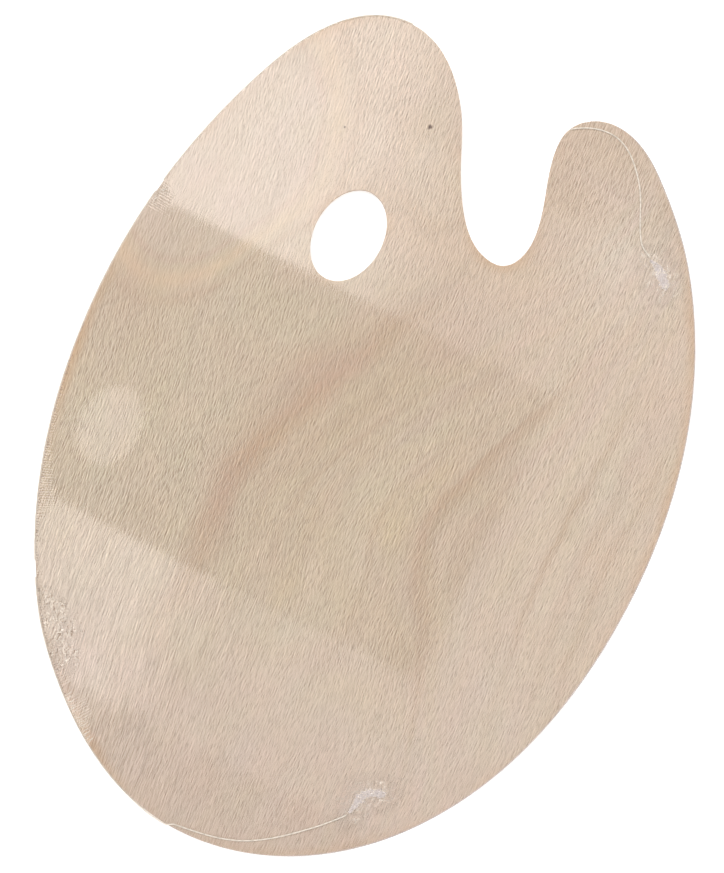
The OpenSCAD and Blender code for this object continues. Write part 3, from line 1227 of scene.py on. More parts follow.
class GeometryTree(Tree):
    """A Geometry Nodes tree with named inputs, and its use on one object."""

    def __init__(self, name: str, inputs: dict[str, tuple[str, object]]) -> None:
        """Starts the tree.

        Args:
            name: Name of the tree.
            inputs: Type and value of each named input besides the geometry.
        """
        super().__init__(bpy.data.node_groups.new(name, "GeometryNodeTree"))
        face = self.nodes.interface
        face.new_socket(name="Geometry", in_out="OUTPUT", socket_type="NodeSocketGeometry")
        face.new_socket(name="Geometry", in_out="INPUT", socket_type="NodeSocketGeometry")
        self.sockets = {
            key: (face.new_socket(name=key, in_out="INPUT", socket_type=kind), value)
            for key, (kind, value) in inputs.items()
        }
        self.given = self.add("NodeGroupInput").outputs

    def end(self, shape: bpy.types.NodeSocket) -> None:
        """Ends the tree in Realize Instances and Set Material."""
        real = self.add("GeometryNodeRealizeInstances", None, {0: shape})
        dressed = self.add("GeometryNodeSetMaterial", None,
                           {"Geometry": real.outputs[0], "Material": self.given["Material"]})
        self.add("NodeGroupOutput", None, {0: dressed.outputs[0]})

    def apply(self, piece: bpy.types.Object, material: bpy.types.Material) -> None:
        """Turns the piece into the tree's result as a plain mesh.

        Args:
            piece: Object whose mesh the tree starts from.
            material: Material of the result.
        """
        modifier = piece.modifiers.new(self.nodes.name, "NODES")
        modifier.node_group = self.nodes
        for socket, value in self.sockets.values():
            modifier[socket.identifier] = material if value is None else value
        piece.data.update()
        settled(piece)


def bead_tree(diameter: float, step: float, lump: float, seed: int) -> GeometryTree:
    """A tree that lays a slightly lumpy bead along the lines of a mesh.

    Args:
        diameter: Diameter of the bead in metres.
        step: Distance between two rings of points in metres.
        lump: How much the thickness varies, as a share of it.
        seed: Seed of the lumps.

    Returns:
        The tree.
    """
    tree = GeometryTree("bead_along_seam", {
        "Bead Diameter": ("NodeSocketFloat", diameter),
        "Ring Step": ("NodeSocketFloat", step),
        "Lump Share": ("NodeSocketFloat", lump),
        "Seed": ("NodeSocketFloat", float(seed)),
        "Material": ("NodeSocketMaterial", None),
    })
    line = tree.add("GeometryNodeMeshToCurve", None, {"Mesh": tree.given["Geometry"]})
    rings = tree.add("GeometryNodeResampleCurve", {"mode": "LENGTH"},
                     {"Curve": line.outputs[0], "Length": tree.given["Ring Step"]})
    where = tree.add("GeometryNodeInputPosition")
    lumps = tree.add("ShaderNodeTexNoise", {"noise_dimensions": "4D"},
                     {"Vector": where.outputs[0], "W": tree.given["Seed"], "Scale": 420.0, "Detail": 2.0})
    share = Value(tree, tree.given["Lump Share"])
    radius = (Value(tree, lumps.outputs[0]) - 0.5) * share * 2.0 + 1.0
    sized = tree.add("GeometryNodeSetCurveRadius", None, {"Curve": rings.outputs[0], "Radius": radius})
    circle = tree.add("GeometryNodeCurvePrimitiveCircle", None,
                      {"Resolution": 10, "Radius": Value(tree, tree.given["Bead Diameter"]) * 0.5})
    bead = tree.add("GeometryNodeCurveToMesh", None,
                    {"Curve": sized.outputs[0], "Profile Curve": circle.outputs[0], "Fill Caps": True})
    smooth = tree.add("GeometryNodeSetShadeSmooth", None, {"Geometry": bead.outputs[0]})
    tree.end(smooth.outputs[0])
    return tree


def pleat_tree(length: float, width: float, pitch: float, seed: int) -> GeometryTree:
    """A tree that sets short tapered pleats side by side along the lines of a mesh.

    Args:
        length: Length of the longest pleat in metres.
        width: Width of a pleat in metres.
        pitch: Distance between two pleats in metres.
        seed: Seed of their sizes and directions.

    Returns:
        The tree.
    """
    tree = GeometryTree("pleats_along_rim", {
        "Pleat Length": ("NodeSocketFloat", length),
        "Pleat Width": ("NodeSocketFloat", width),
        "Pleat Pitch": ("NodeSocketFloat", pitch),
        "Seed": ("NodeSocketInt", seed),
        "Material": ("NodeSocketMaterial", None),
    })
    line = tree.add("GeometryNodeMeshToCurve", None, {"Mesh": tree.given["Geometry"]})
    spots = tree.add("GeometryNodeResampleCurve", {"mode": "LENGTH"},
                     {"Curve": line.outputs[0], "Length": tree.given["Pleat Pitch"]})
    end = tree.add("ShaderNodeCombineXYZ", None, {0: 0.0, 1: tree.given["Pleat Length"], 2: 0.0})
    ridge = tree.add("GeometryNodeCurvePrimitiveLine", None, {"End": end.outputs[0]})
    ridge = tree.add("GeometryNodeResampleCurve", {"mode": "COUNT"}, {"Curve": ridge.outputs[0], "Count": 9})
    along = Value(tree, tree.add("GeometryNodeSplineParameter").outputs["Factor"])
    taper = tree.maths("SQRT", tree.maths("MAXIMUM", along * (1.0 - along) * 4.0, 0.004))
    ridge = tree.add("GeometryNodeSetCurveRadius", None, {"Curve": ridge.outputs[0], "Radius": taper})
    circle = tree.add("GeometryNodeCurvePrimitiveCircle", None,
                      {"Resolution": 6, "Radius": Value(tree, tree.given["Pleat Width"]) * 0.5})
    pleat = tree.add("GeometryNodeCurveToMesh", None,
                     {"Curve": ridge.outputs[0], "Profile Curve": circle.outputs[0], "Fill Caps": True})
    tangent = tree.add("GeometryNodeInputTangent")
    turned = tree.add("FunctionNodeAlignEulerToVector", {"axis": "X", "pivot_axis": "Z"},
                      {"Vector": tangent.outputs[0]})
    sway = tree.add("FunctionNodeRandomValue", {"data_type": "FLOAT"},
                    {"Min": -0.5, "Max": 0.5, "Seed": tree.given["Seed"]})
    sizes = tree.add("FunctionNodeRandomValue", {"data_type": "FLOAT_VECTOR"},
                     {"Min": (0.7, 0.25, 0.35), "Max": (1.3, 1.0, 0.8), "Seed": tree.given["Seed"]})
    placed = tree.add("GeometryNodeInstanceOnPoints", None, {
        "Points": spots.outputs[0], "Instance": pleat.outputs[0], "Rotation": turned.outputs[0],
        "Scale": sizes.outputs["Value"]})
    twist = tree.add("ShaderNodeCombineXYZ", None, {0: 0.0, 1: 0.0, 2: sway.outputs[1]})
    swayed = tree.add("GeometryNodeRotateInstances", None,
                      {"Instances": placed.outputs[0], "Rotation": twist.outputs[0]})
    real = tree.add("GeometryNodeRealizeInstances", None, {0: swayed.outputs[0]})
    smooth = tree.add("GeometryNodeSetShadeSmooth", None, {"Geometry": real.outputs[0]})
    tree.end(smooth.outputs[0])
    return tree


# ---- the board ----


class FreeFace(Enum):
    """Which face of a layer of the board can be seen."""

    TOP = "top"
    BOTTOM = "bottom"
    NONE = "none"


@dataclass(frozen=True)
class Layer:
    """One layer of the board."""

    node: str
    slot: str
    finish: VeneerFinish | CoreFinish | GlueFinish
    free: FreeFace
    sunk: float      # how far its sawn edge lies inside the outline, in metres
    fray: float      # how uneven its sawn edge is, in metres
    seed: int


@dataclass(frozen=True)
class Board:
    """Three plies and two glue lines, cut to one outline with a thumb hole and a finger notch."""

    rim: DrawnLine
    hole: ThumbHole
    arris: float = 0.28 * MM
    arris_steps: int = 4
    edge_pitch: float = 0.7 * MM
    rings: tuple[float, ...] = (1.0 * MM, 2.4 * MM, 4.2 * MM, 6.5 * MM, 10.0 * MM)
    inner_pitch: float = 12 * MM
    far_from_rim: float = 0.05
    chip_depth: float = 0.32 * MM
    chips: int = 70
    pins: tuple[tuple[float, float, float], ...] = ((-40.4, 159.3, 0.6), (-77.3, 140.9, 0.35))
    pin_depth: float = 0.6 * MM
    pin_guard: float = 2.2           # ring that bounds a pin mark's dark tint, in radii
    layers: tuple[Layer, ...] = (
        Layer("back_veneer", "face_veneer", VeneerFinish("back_veneer_wood", True), FreeFace.BOTTOM,
              0.0, 0.03 * MM, 3),
        Layer("back_glue_line", "glue_line", GlueFinish("back_glue"), FreeFace.NONE, 0.05 * MM,
              0.04 * MM, 5),
        Layer("core_veneer", "core_veneer", CoreFinish(), FreeFace.NONE, 0.0, 0.05 * MM, 8),
        Layer("front_glue_line", "glue_line", GlueFinish("front_glue"), FreeFace.NONE, 0.05 * MM,
              0.04 * MM, 13),
        Layer("front_veneer", "face_veneer", VeneerFinish("front_veneer_wood"), FreeFace.TOP,
              0.0, 0.03 * MM, 21),
    )

    def build(self) -> None:
        """Builds, dresses and hands over every layer."""
        for layer in self.layers:
            piece = self.shape(layer)
            self.mark_edges(piece, layer)
            piece.data.materials.append(layer.finish.make())
            hand_over(piece, [layer.node])

    def chip_cuts(self, layer: Layer, run: np.ndarray, length: float) -> np.ndarray:
        """How deep torn chips cut into the rim at each distance along it.

        Args:
            layer: The layer, which sets the chips' places.
            run: Distances along the rim in metres.
            length: Length of the whole rim.

        Returns:
            Depths in metres.
        """
        rng = np.random.default_rng(layer.seed)
        cuts = np.zeros(len(run))
        for centre, width, depth in zip(rng.uniform(0, length, self.chips),
                                        rng.uniform(0.5 * MM, 2.2 * MM, self.chips),
                                        rng.uniform(0.15, 1.0, self.chips) ** 2, strict=True):
            away = np.abs(run - centre)
            cuts = np.maximum(cuts, depth * self.chip_depth * np.clip(1.6 * (1 - away / width), 0, 1))
        return cuts

    def edge_columns(self, layer: Layer) -> tuple[np.ndarray, np.ndarray, np.ndarray]:
        """Points, outward directions and cuts along the outline of a layer."""
        places = self.rim.spaced(0, len(self.rim.anchors), even(self.edge_pitch))[:-1]
        points, out = self.rim.points(places), self.rim.outward(places)
        run = length_along(points)
        fray = Ripple(layer.seed, 1.2 * MM, 30 * MM).at(points) * layer.fray * 0.5
        cuts = layer.sunk + np.abs(fray)
        if layer.free is not FreeFace.NONE:
            cuts = cuts + self.chip_cuts(layer, run, run[-1])
        return points, out, cuts

    def profile(self, layer: Layer, low: float, high: float) -> list[tuple[float, float, bool]]:
        """The cross-section of an edge from the hidden face round to the free one.

        Args:
            layer: The layer.
            low: Height of its underside.
            high: Height of its upper side.

        Returns:
            How far inside the outline each point lies, its height, and whether it is cut by chips.
        """
        if layer.free is FreeFace.NONE:
            middle = (low + high) / 2
            return [(0.0, low, True), (0.0, middle, True), (0.0, high, True)]
        hidden, face = (low, high) if layer.free is FreeFace.TOP else (high, low)
        down = math.copysign(self.arris, face - hidden)
        turns = [math.pi / 2 * k / self.arris_steps for k in range(self.arris_steps + 1)]
        arc = [(self.arris * (1 - math.cos(t)), face - down + down * math.sin(t), True) for t in turns]
        return [(0.0, hidden, True), *arc, *[(ring, face, False) for ring in self.rings]]

    def shape(self, layer: Layer) -> bpy.types.Object:
        """Builds the closed solid of a layer.

        Args:
            layer: The layer.

        Returns:
            The object.
        """
        low, high = (corner.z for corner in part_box(layer.node))
        points, out, cuts = self.edge_columns(layer)
        section = self.profile(layer, low, high)
        blank = Blank()
        outer = np.stack([np.column_stack([points - out * (inset + cuts * cut)[:, None],
                                           np.full(len(points), height)])
                          for inset, height, cut in section], 1)
        blank.add_grid(outer, True)
        inner = np.stack([np.column_stack([self.hole.loop(self.rim.fit, inset + layer.sunk),
                                           np.full(self.hole.steps, height)])
                          for inset, height, _ in section], 1)
        blank.add_grid(inner, True)
        for end in (0, -1):
            rim_loop, hole_loop = outer[:, end, :2], inner[:, end, :2]
            height = section[end][1]
            seen = layer.free is not FreeFace.NONE and end == -1
            pits = [self.pin_ring(pin) for pin in self.pins] if seen and layer.free is FreeFace.TOP else []
            loose = scattered(rim_loop, self.inner_pitch)
            for gap in [hole_loop, *pits]:
                reach = np.hypot(*(gap - gap.mean(0)).T).max() + 1.5 * MM
                loose = loose[np.hypot(*(loose - gap.mean(0)).T) > reach]
            guards = [pit.mean(0) + (pit - pit.mean(0)) * self.pin_guard for pit in pits]
            flat, faces = joined([rim_loop, hole_loop, *pits, *guards], [], loose)
            middles = flat[faces].mean(1)
            kept = inside(middles, rim_loop)
            for gap in [hole_loop, *pits]:
                kept &= ~inside(middles, gap)
            blank.add_flat(flat, faces[kept], height)
            for pit in pits:
                self.add_pit(blank, pit, height)
        piece = blank.piece(f"{layer.node}_ply")
        shade_soft(piece, 40)
        return piece

    def pin_ring(self, pin: tuple[float, float, float]) -> np.ndarray:
        """The mouth of a pin mark, as rows of x and y.

        Args:
            pin: Its place and its radius in millimetres.

        Returns:
            Twelve points round it.
        """
        angle = np.linspace(0, 2 * np.pi, 12, endpoint=False)
        rough = 1 + 0.15 * np.sin(3 * angle + 1)
        return (np.array(pin[:2]) + pin[2] * rough[:, None]
                * np.stack([np.cos(angle), 1.3 * np.sin(angle)], 1)) * MM

    def add_pit(self, blank: Blank, mouth: np.ndarray, height: float) -> None:
        """Adds the walls and the bottom of a pin mark.

        Args:
            blank: Where its faces go.
            mouth: Points round its mouth.
            height: Height of the face that it is in.
        """
        middle = mouth.mean(0)
        rings = [np.column_stack([middle + (mouth - middle) * share,
                                  np.full(len(mouth), height - self.pin_depth * depth)])
                 for share, depth in ((1.0, 0.0), (0.8, 0.3), (0.45, 1.0))]
        blank.add_grid(np.stack(rings, 1), True)
        blank.add(rings[-1], [range(len(mouth))])

    def mark_edges(self, piece: bpy.types.Object, layer: Layer) -> None:
        """Tells the finish how far each point is from the rim, and whether it is on the sawn edge.

        Args:
            piece: The layer's object.
            layer: The layer.
        """
        low, high = (corner.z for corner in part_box(layer.node))
        places = self.rim.spaced(0, len(self.rim.anchors), even(MM))[:-1]
        edge = np.concatenate([self.rim.points(places), self.hole.loop(self.rim.fit)])
        points = positions(piece)
        write_attribute(piece, RIM_ATTRIBUTE, np.minimum(distances(points, edge), self.far_from_rim))
        face = high if layer.free is FreeFace.TOP else low
        off_face = np.abs(points[:, 2] - face) > self.arris * 0.6
        pinned = np.zeros(len(points))
        for pin in self.pins if layer.free is FreeFace.TOP else ():
            close = np.hypot(*(points[:, :2] / MM - pin[:2]).T) < 1.4 * pin[2] + 0.1
            pinned = np.maximum(pinned, close * pin[2] / self.pins[0][2])
        off_face &= pinned < HAIR
        write_attribute(piece, SAWN_ATTRIBUTE, (off_face | (layer.free is FreeFace.NONE)).astype(float))
        write_attribute(piece, PIN_ATTRIBUTE, pinned)


# ---- the film ----


class Zone(NamedTuple):
    """A stretch of the rim where the film is puckered."""

    middle: float
    spread: float
    strength: float


@dataclass(frozen=True)
class Envelope:
    """The front and back sheets of shrink film, with the back one turned over the rim."""

    rim: DrawnLine
    hole: ThumbHole
    top_weld: DrawnLine
    bottom_weld: DrawnLine
    finish: FilmFinish = FilmFinish("clear_shrink_film")
    thickness: float = 0.05 * MM
    lift: float = 0.02 * MM          # gap between the film and the wood
    stand_off: float = 0.09 * MM     # outside of the film beyond the board's rim
    corner: float = 0.36 * MM
    corner_steps: int = 4
    insets: tuple[float, ...] = (9 * MM, 6.8 * MM, 4.9 * MM, 3.4 * MM, 2.2 * MM, 1.3 * MM, 0.7 * MM)
    coarse_pitch: float = 1.2 * MM
    fine_pitch: float = 0.36 * MM
    face_pitch: float = 3.6 * MM
    hole_rings: tuple[float, ...] = (0.6 * MM, 1.6 * MM, 3.2 * MM)
    pucker_pitch: float = 1.25 * MM
    pucker_height: float = 0.30 * MM
    pucker_out: float = 0.30 * MM
    overhang: float = 0.32 * MM      # how far the trimmed film stands into the notch
    overhang_reach: float = 0.8      # how far along the notch it does so, in anchors
    slack: float = 0.003 * MM        # slow waves of the taut face
    zones: tuple[Zone, ...] = (
        Zone(12.63, 0.05, 0.8), Zone(13.5, 0.30, 0.35), Zone(14.0, 0.12, 0.6), Zone(14.55, 0.30, 0.6),
        Zone(15.13, 0.09, 1.0), Zone(15.6, 0.2, 0.25),
    )

    def pucker(self, places: np.ndarray) -> np.ndarray:
        """How strongly the film is puckered at each place of the rim, from 0 to 1."""
        total = np.full(len(places), 0.05)
        for zone in self.zones:
            total = np.maximum(total, zone.strength * np.exp(-(((places - zone.middle) / zone.spread) ** 2)))
        return total

    def wrapped_places(self) -> np.ndarray:
        """Places along the rim from the thumb lobe's crown round to the small lobe's."""
        stop = Place.SMALL_CROWN.value + len(self.rim.anchors)
        return self.rim.spaced(Place.THUMB_CROWN.value, stop,
                               lambda p: np.where(self.pucker(p) > 0.18, self.fine_pitch, self.coarse_pitch))

    def band(self, top: float, bottom: float) -> tuple[np.ndarray, int]:
        """The film along the rim: in over the face, down the edge and in under the board.

        Args:
            top: Height of the film's outside over the painting face.
            bottom: Height of its outside under the board.

        Returns:
            The points by place and by step of the cross-section, and the first step of the edge.
        """
        places = self.wrapped_places()
        points, out = self.rim.points(places), self.rim.outward(places)
        run = length_along(points)
        sway = Ripple(71, 3 * MM, 12 * MM, 8).at(np.column_stack([run, 0 * run])) * 0.18
        strength = self.pucker(places)
        turns = [math.pi / 2 * k / self.corner_steps for k in range(self.corner_steps + 1)]
        inset = self.corner - self.stand_off
        bends = [(inset - self.corner * math.sin(t), self.corner * (1 - math.cos(t))) for t in turns]
        section = [(d, top, 1.0) for d in self.insets]
        section += [(d, top - drop, 0.5) for d, drop in bends]
        section += [(-self.stand_off, (top + bottom) / 2, 0.0)]
        section += [(d, bottom + drop, -0.2) for d, drop in reversed(bends)]
        section += [(d, bottom, 0.0) for d in reversed(self.insets)]
        columns = []
        for depth, height, lifted in section:
            lean = depth / self.insets[0]
            waves = zigzag(run / self.pucker_pitch + sway + 0.6 * lean)
            fade = math.exp(-max(depth, 0) / (2.6 * MM))
            rise = strength * (1 + waves) / 2 * fade
            flat = points - out * (depth - self.pucker_out * rise * (depth < MM))[:, None]
            columns.append(np.column_stack([flat, height + self.pucker_height * rise * lifted]))
        return np.stack(columns, 1), len(self.insets)

    def notch_run(self, pitch: float) -> np.ndarray:
        """Points along the film's trimmed edge in the notch, from the small lobe's crown."""
        places = self.rim.spaced(Place.SMALL_CROWN.value, Place.THUMB_CROWN.value, even(pitch))
        wall = np.exp(-(((places - Place.NOTCH_SIDE.value) / self.overhang_reach) ** 2))
        rough = Ripple(90, 5 * MM, 30 * MM).at(self.rim.points(places)) * 0.05
        over = self.overhang * np.clip(wall * (1 + rough), 0, None)
        return self.rim.points(places) + self.rim.outward(places) * over[:, None]

    def face(self, band_edge: np.ndarray,
             ends: tuple[np.ndarray, np.ndarray]) -> tuple[np.ndarray, np.ndarray]:
        """Triangles of a level sheet inside the band, with its thumb hole and notch.

        Args:
            band_edge: The band's inner edge, as rows of x and y.
            ends: The band's first and last cross-section, from its inner edge outwards.

        Returns:
            The points and the triangles.
        """
        first, last = ends
        notch = self.notch_run(0.8 * MM)
        loop = np.concatenate([band_edge, last[1:], notch[1:-1], first[::-1][:-1]])
        hole = self.hole.loop(self.rim.fit)
        rounds = [self.hole.loop(self.rim.fit, grow) for grow in self.hole_rings]
        loose = scattered(loop, self.face_pitch)
        loose = loose[~inside(loose, self.hole.loop(self.rim.fit, self.hole_rings[-1] + 1.5 * MM))]
        lines = [self.weld_route(self.top_weld)[1:], self.weld_route(self.bottom_weld)[1:]]
        lines = [line[inside(line, loop)] for line in lines]
        flat, faces = joined([loop, hole, *rounds], lines, loose)
        middles = flat[faces].mean(1)
        return flat, faces[inside(middles, loop) & ~inside(middles, hole)]

    @staticmethod
    def weld_route(weld: DrawnLine) -> np.ndarray:
        """Points along a weld of the face."""
        return weld.points(np.linspace(0, len(weld.anchors) - 1, 8 * (len(weld.anchors) - 1) + 1))

    def turned_over(self, points: np.ndarray) -> np.ndarray:
        """Whether each point of the painting face lies outside the two welds, under the back film."""
        found = np.zeros(len(points), bool)
        for weld, before, corner in ((self.top_weld, (-15 * MM, 15 * MM), (0.3, 0.3)),
                                     (self.bottom_weld, (-20 * MM, -4 * MM), (0.1, -0.3))):
            route = self.weld_route(weld)
            after = route[-1] + (90 * MM, -10 * MM)
            found |= inside(points, np.concatenate([[route[0] + before], route, [after, corner]]))
        return found

    def build(self) -> None:
        """Builds, dresses and hands over both sheets."""
        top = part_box("film_front")[1].z + self.lift
        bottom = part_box("film_back")[0].z
        band, edge = self.band(top, bottom)
        middles = band[:, :edge, :2].mean(1)
        over = self.turned_over(middles)
        front, back = Blank(), Blank()
        here = np.arange(band.shape[0] * band.shape[1]).reshape(band.shape[:2])
        quads = np.stack([here[:-1, :-1], here[:-1, 1:], here[1:, 1:], here[1:, :-1]], -1)
        on_front = ~over[:-1, None] & (np.arange(band.shape[1] - 1) < edge - 1)
        front.add(band.reshape(-1, 3), quads[on_front])
        back.add(band.reshape(-1, 3), quads[~on_front])
        flat, sheet = self.face(band[:, 0, :2], (band[0, :edge, :2], band[-1, :edge, :2]))
        far = self.turned_over(flat[sheet].mean(1))
        front.add_flat(flat, sheet[~far], top)
        back.add_flat(flat, sheet[far], top)
        turned = band[:, ::-1]
        under, lower = self.face(turned[:, 0, :2], (turned[0, :edge, :2], turned[-1, :edge, :2]))
        back.add_flat(under, lower, bottom)
        for blank, node, upward in ((front, "film_front", True), (back, "film_back", False)):
            piece = blank.piece(f"{node}_sheet")
            face_up(piece, upward)
            self.finish_sheet(piece, top)
            hand_over(piece, [node])

    def edge_share(self, points: np.ndarray) -> np.ndarray:
        """1 for points on the bend over the rim, 0 for points on the faces."""
        rim = self.rim.points(self.wrapped_places())
        return 1 - eased(distances(points, rim), 0.3 * MM, 0.75 * MM)

    def finish_sheet(self, piece: bpy.types.Object, top: float) -> None:
        """Gives a sheet its slow waves, its milkiness with painted highlights on raised puckers, its
        thickness and its finish.

        Args:
            piece: The sheet.
            top: Height of the film over the painting face.
        """
        points = positions(piece)
        level = points[:, 2] > top - HAIR
        waves = Ripple(31, 26 * MM, 90 * MM, 9).at(points[:, :2]) * self.slack
        points[:, 2] += np.where(level, np.abs(waves), 0)
        place_points(piece, points)
        rise = np.clip((points[:, 2] - top - 2 * self.slack) / self.pucker_height, 0, 1)
        on_right = self.edge_share(points) * eased(points[:, 0], 0.02, 0.08)
        # Raised puckers get milk in a painted highlight; the bend over the right-hand rim gets a grey line of
        # milk mixed with the valley shade colour.
        write_attribute(piece, MILK_ATTRIBUTE, np.maximum(0.45 * eased(rise, 0.35, 0.8), 0.5 * on_right))
        write_attribute(piece, SHADE_HIGHLIGHT_ATTRIBUTE, np.where(on_right > rise, 0.38, 0.9))
        thicken(piece, self.thickness)
        shade_soft(piece, 50)
        piece.data.materials.append(self.finish.make())


@dataclass(frozen=True)
class Welds:
    """The melted beads along the three open sides of the film."""

    rim: DrawnLine
    top_weld: DrawnLine
    bottom_weld: DrawnLine
    finish: WeldFinish = WeldFinish()
    diameter: float = 0.7 * MM
    film: float = 0.12 * MM       # from the board's rim to the outside of the film
    ring_step: float = 0.45 * MM
    lump: float = 0.35
    climb: float = 0.3            # how long the bead takes to climb on to the face, in anchors
    gap: float = 0.05             # between two beads, in anchors
    pitch: float = 1.0 * MM

    def along_rim(self, start: float, stop: float) -> np.ndarray:
        """Points along the middle of the rim, clear of the film."""
        places = self.rim.spaced(start, stop, even(self.pitch))
        flat = self.rim.points(places) + self.rim.outward(places) * (self.film + self.diameter / 2)
        return np.column_stack([flat, np.full(len(flat), self.middle())])

    def middle(self) -> float:
        """Half-way up the board's edge."""
        return (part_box("back_veneer")[0].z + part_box("front_veneer")[1].z) / 2

    def face_height(self) -> float:
        """Height of a bead's middle on the painting face."""
        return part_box("film_front")[1].z + self.diameter * 0.35

    def over_face(self, weld: DrawnLine) -> np.ndarray:
        """Points of a weld across the painting face."""
        flat = Envelope.weld_route(weld)
        return np.column_stack([flat, np.full(len(flat), self.face_height())])

    def over_edge(self, start: float, stop: float) -> np.ndarray:
        """Points from the middle of the rim up on to the face, while the weld moves along the rim."""
        share = np.linspace(0.1, 0.9, 9)
        places = start + (stop - start) * share
        tilt = np.radians(90 * np.clip(share * 2 - 1, 0, 1))
        rise = np.clip(share * 2, 0, 1)
        out = (self.film + self.diameter / 2) * np.cos(tilt)
        flat = self.rim.points(places) + self.rim.outward(places) * out[:, None]
        height = self.middle() + (self.face_height() - self.middle()) * rise
        return np.column_stack([flat, height])

    def build(self) -> None:
        """Builds, dresses and hands over the three welds."""
        crown, upper, left, foot = (p.value for p in (Place.THUMB_CROWN, Place.UPPER_CORNER,
                                                      Place.LEFT_CORNER, Place.FOOT_CROSSING))
        routes = {
            "film_weld_top": [self.over_face(self.top_weld), self.along_rim(crown, upper - self.gap)],
            "film_weld_left": [self.along_rim(upper, left - self.gap)],
            "film_weld_bottom": [np.concatenate([
                self.along_rim(left, foot - self.climb),
                self.over_edge(foot - self.climb, foot),
                self.over_face(self.bottom_weld)])],
        }
        material = self.finish.make()
        for seed, (node, runs) in enumerate(routes.items()):
            piece = self.lines(f"{node}_bead", runs)
            bead_tree(self.diameter, self.ring_step, self.lump, seed).apply(piece, material)
            hand_over(piece, [node])

    @staticmethod
    def lines(name: str, runs: Sequence[np.ndarray]) -> bpy.types.Object:
        """An object that holds only lines.

        Args:
            name: Name of the object.
            runs: Rows of x, y and z along each line.

        Returns:
            The object.
        """
        points, sides, count = [], [], 0
        for run in runs:
            points += run.tolist()
            sides += [(count + i, count + i + 1) for i in range(len(run) - 1)]
            count += len(run)
        mesh = bpy.data.meshes.new(name)
        mesh.from_pydata(points, sides, [])
        return new_object(name, mesh)


@dataclass(frozen=True)
class Pleats:
    """Short tapered pleats that the shrinking film has drawn in from the rim."""

    name: str
    start: float             # places along the rim
    stop: float
    length: float
    width: float
    pitch: float
    milk: float
    tone: float              # 0 for pleats of painted shade, 1 for pleats with a painted highlight
    seed: int
    inset: float = 0.15 * MM
    lift: float = 0.03 * MM
    crush: float = 0.7       # how much of the mirror is left

    def build(self, rim: DrawnLine, finish: FilmFinish) -> None:
        """Builds, dresses and hands over the pleats.

        Args:
            rim: The board's rim.
            finish: Finish of crushed film.
        """
        places = rim.spaced(self.start, self.stop, even(MM))
        flat = rim.points(places) - rim.outward(places) * self.inset
        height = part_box("film_front")[1].z + self.lift
        piece = Welds.lines(self.name, [np.column_stack([flat, np.full(len(flat), height)])])
        pleat_tree(self.length, self.width, self.pitch, self.seed).apply(piece, finish.make())
        points = positions(piece)
        share = np.sin(points[:, 0] * 5000 + points[:, 1] * 3100) * 0.25 + 0.75
        write_attribute(piece, MILK_ATTRIBUTE, self.milk * share)
        write_attribute(piece, SHADE_HIGHLIGHT_ATTRIBUTE, np.full(len(points), self.tone))
        write_attribute(piece, CRUSH_ATTRIBUTE, np.full(len(points), self.crush))
        hand_over(piece, [])


# The pale pleats are painted highlight and the dark ticks painted shade.
PLEATS = (
    Pleats("film_rim_pleats", 14.98, 15.28, 4.2 * MM, 0.36 * MM, 0.95 * MM, 0.80, 1.0, 4),
    Pleats("film_rim_ticks", 13.25, 14.98, 1.5 * MM, 0.32 * MM, 1.35 * MM, 0.75, 0.05, 9),
)


class Spot(NamedTuple):
    """A point along a bunch of film, in millimetres, and half the bunch's width there."""

    x: float
    y: float
    half: float


class Form(NamedTuple):
    """The shape and look of crushed film, point by point."""

    kept: np.ndarray     # whether there is any crushed film
    height: np.ndarray   # above the flat film, metres
    milk: np.ndarray     # how milky, from 0 to 1
    tone: np.ndarray     # 0 for painted shade in a valley, 0.5 for plain milk, 1 for a painted highlight on a crest
    crush: np.ndarray    # how much of the mirror is left, from 0 to 1


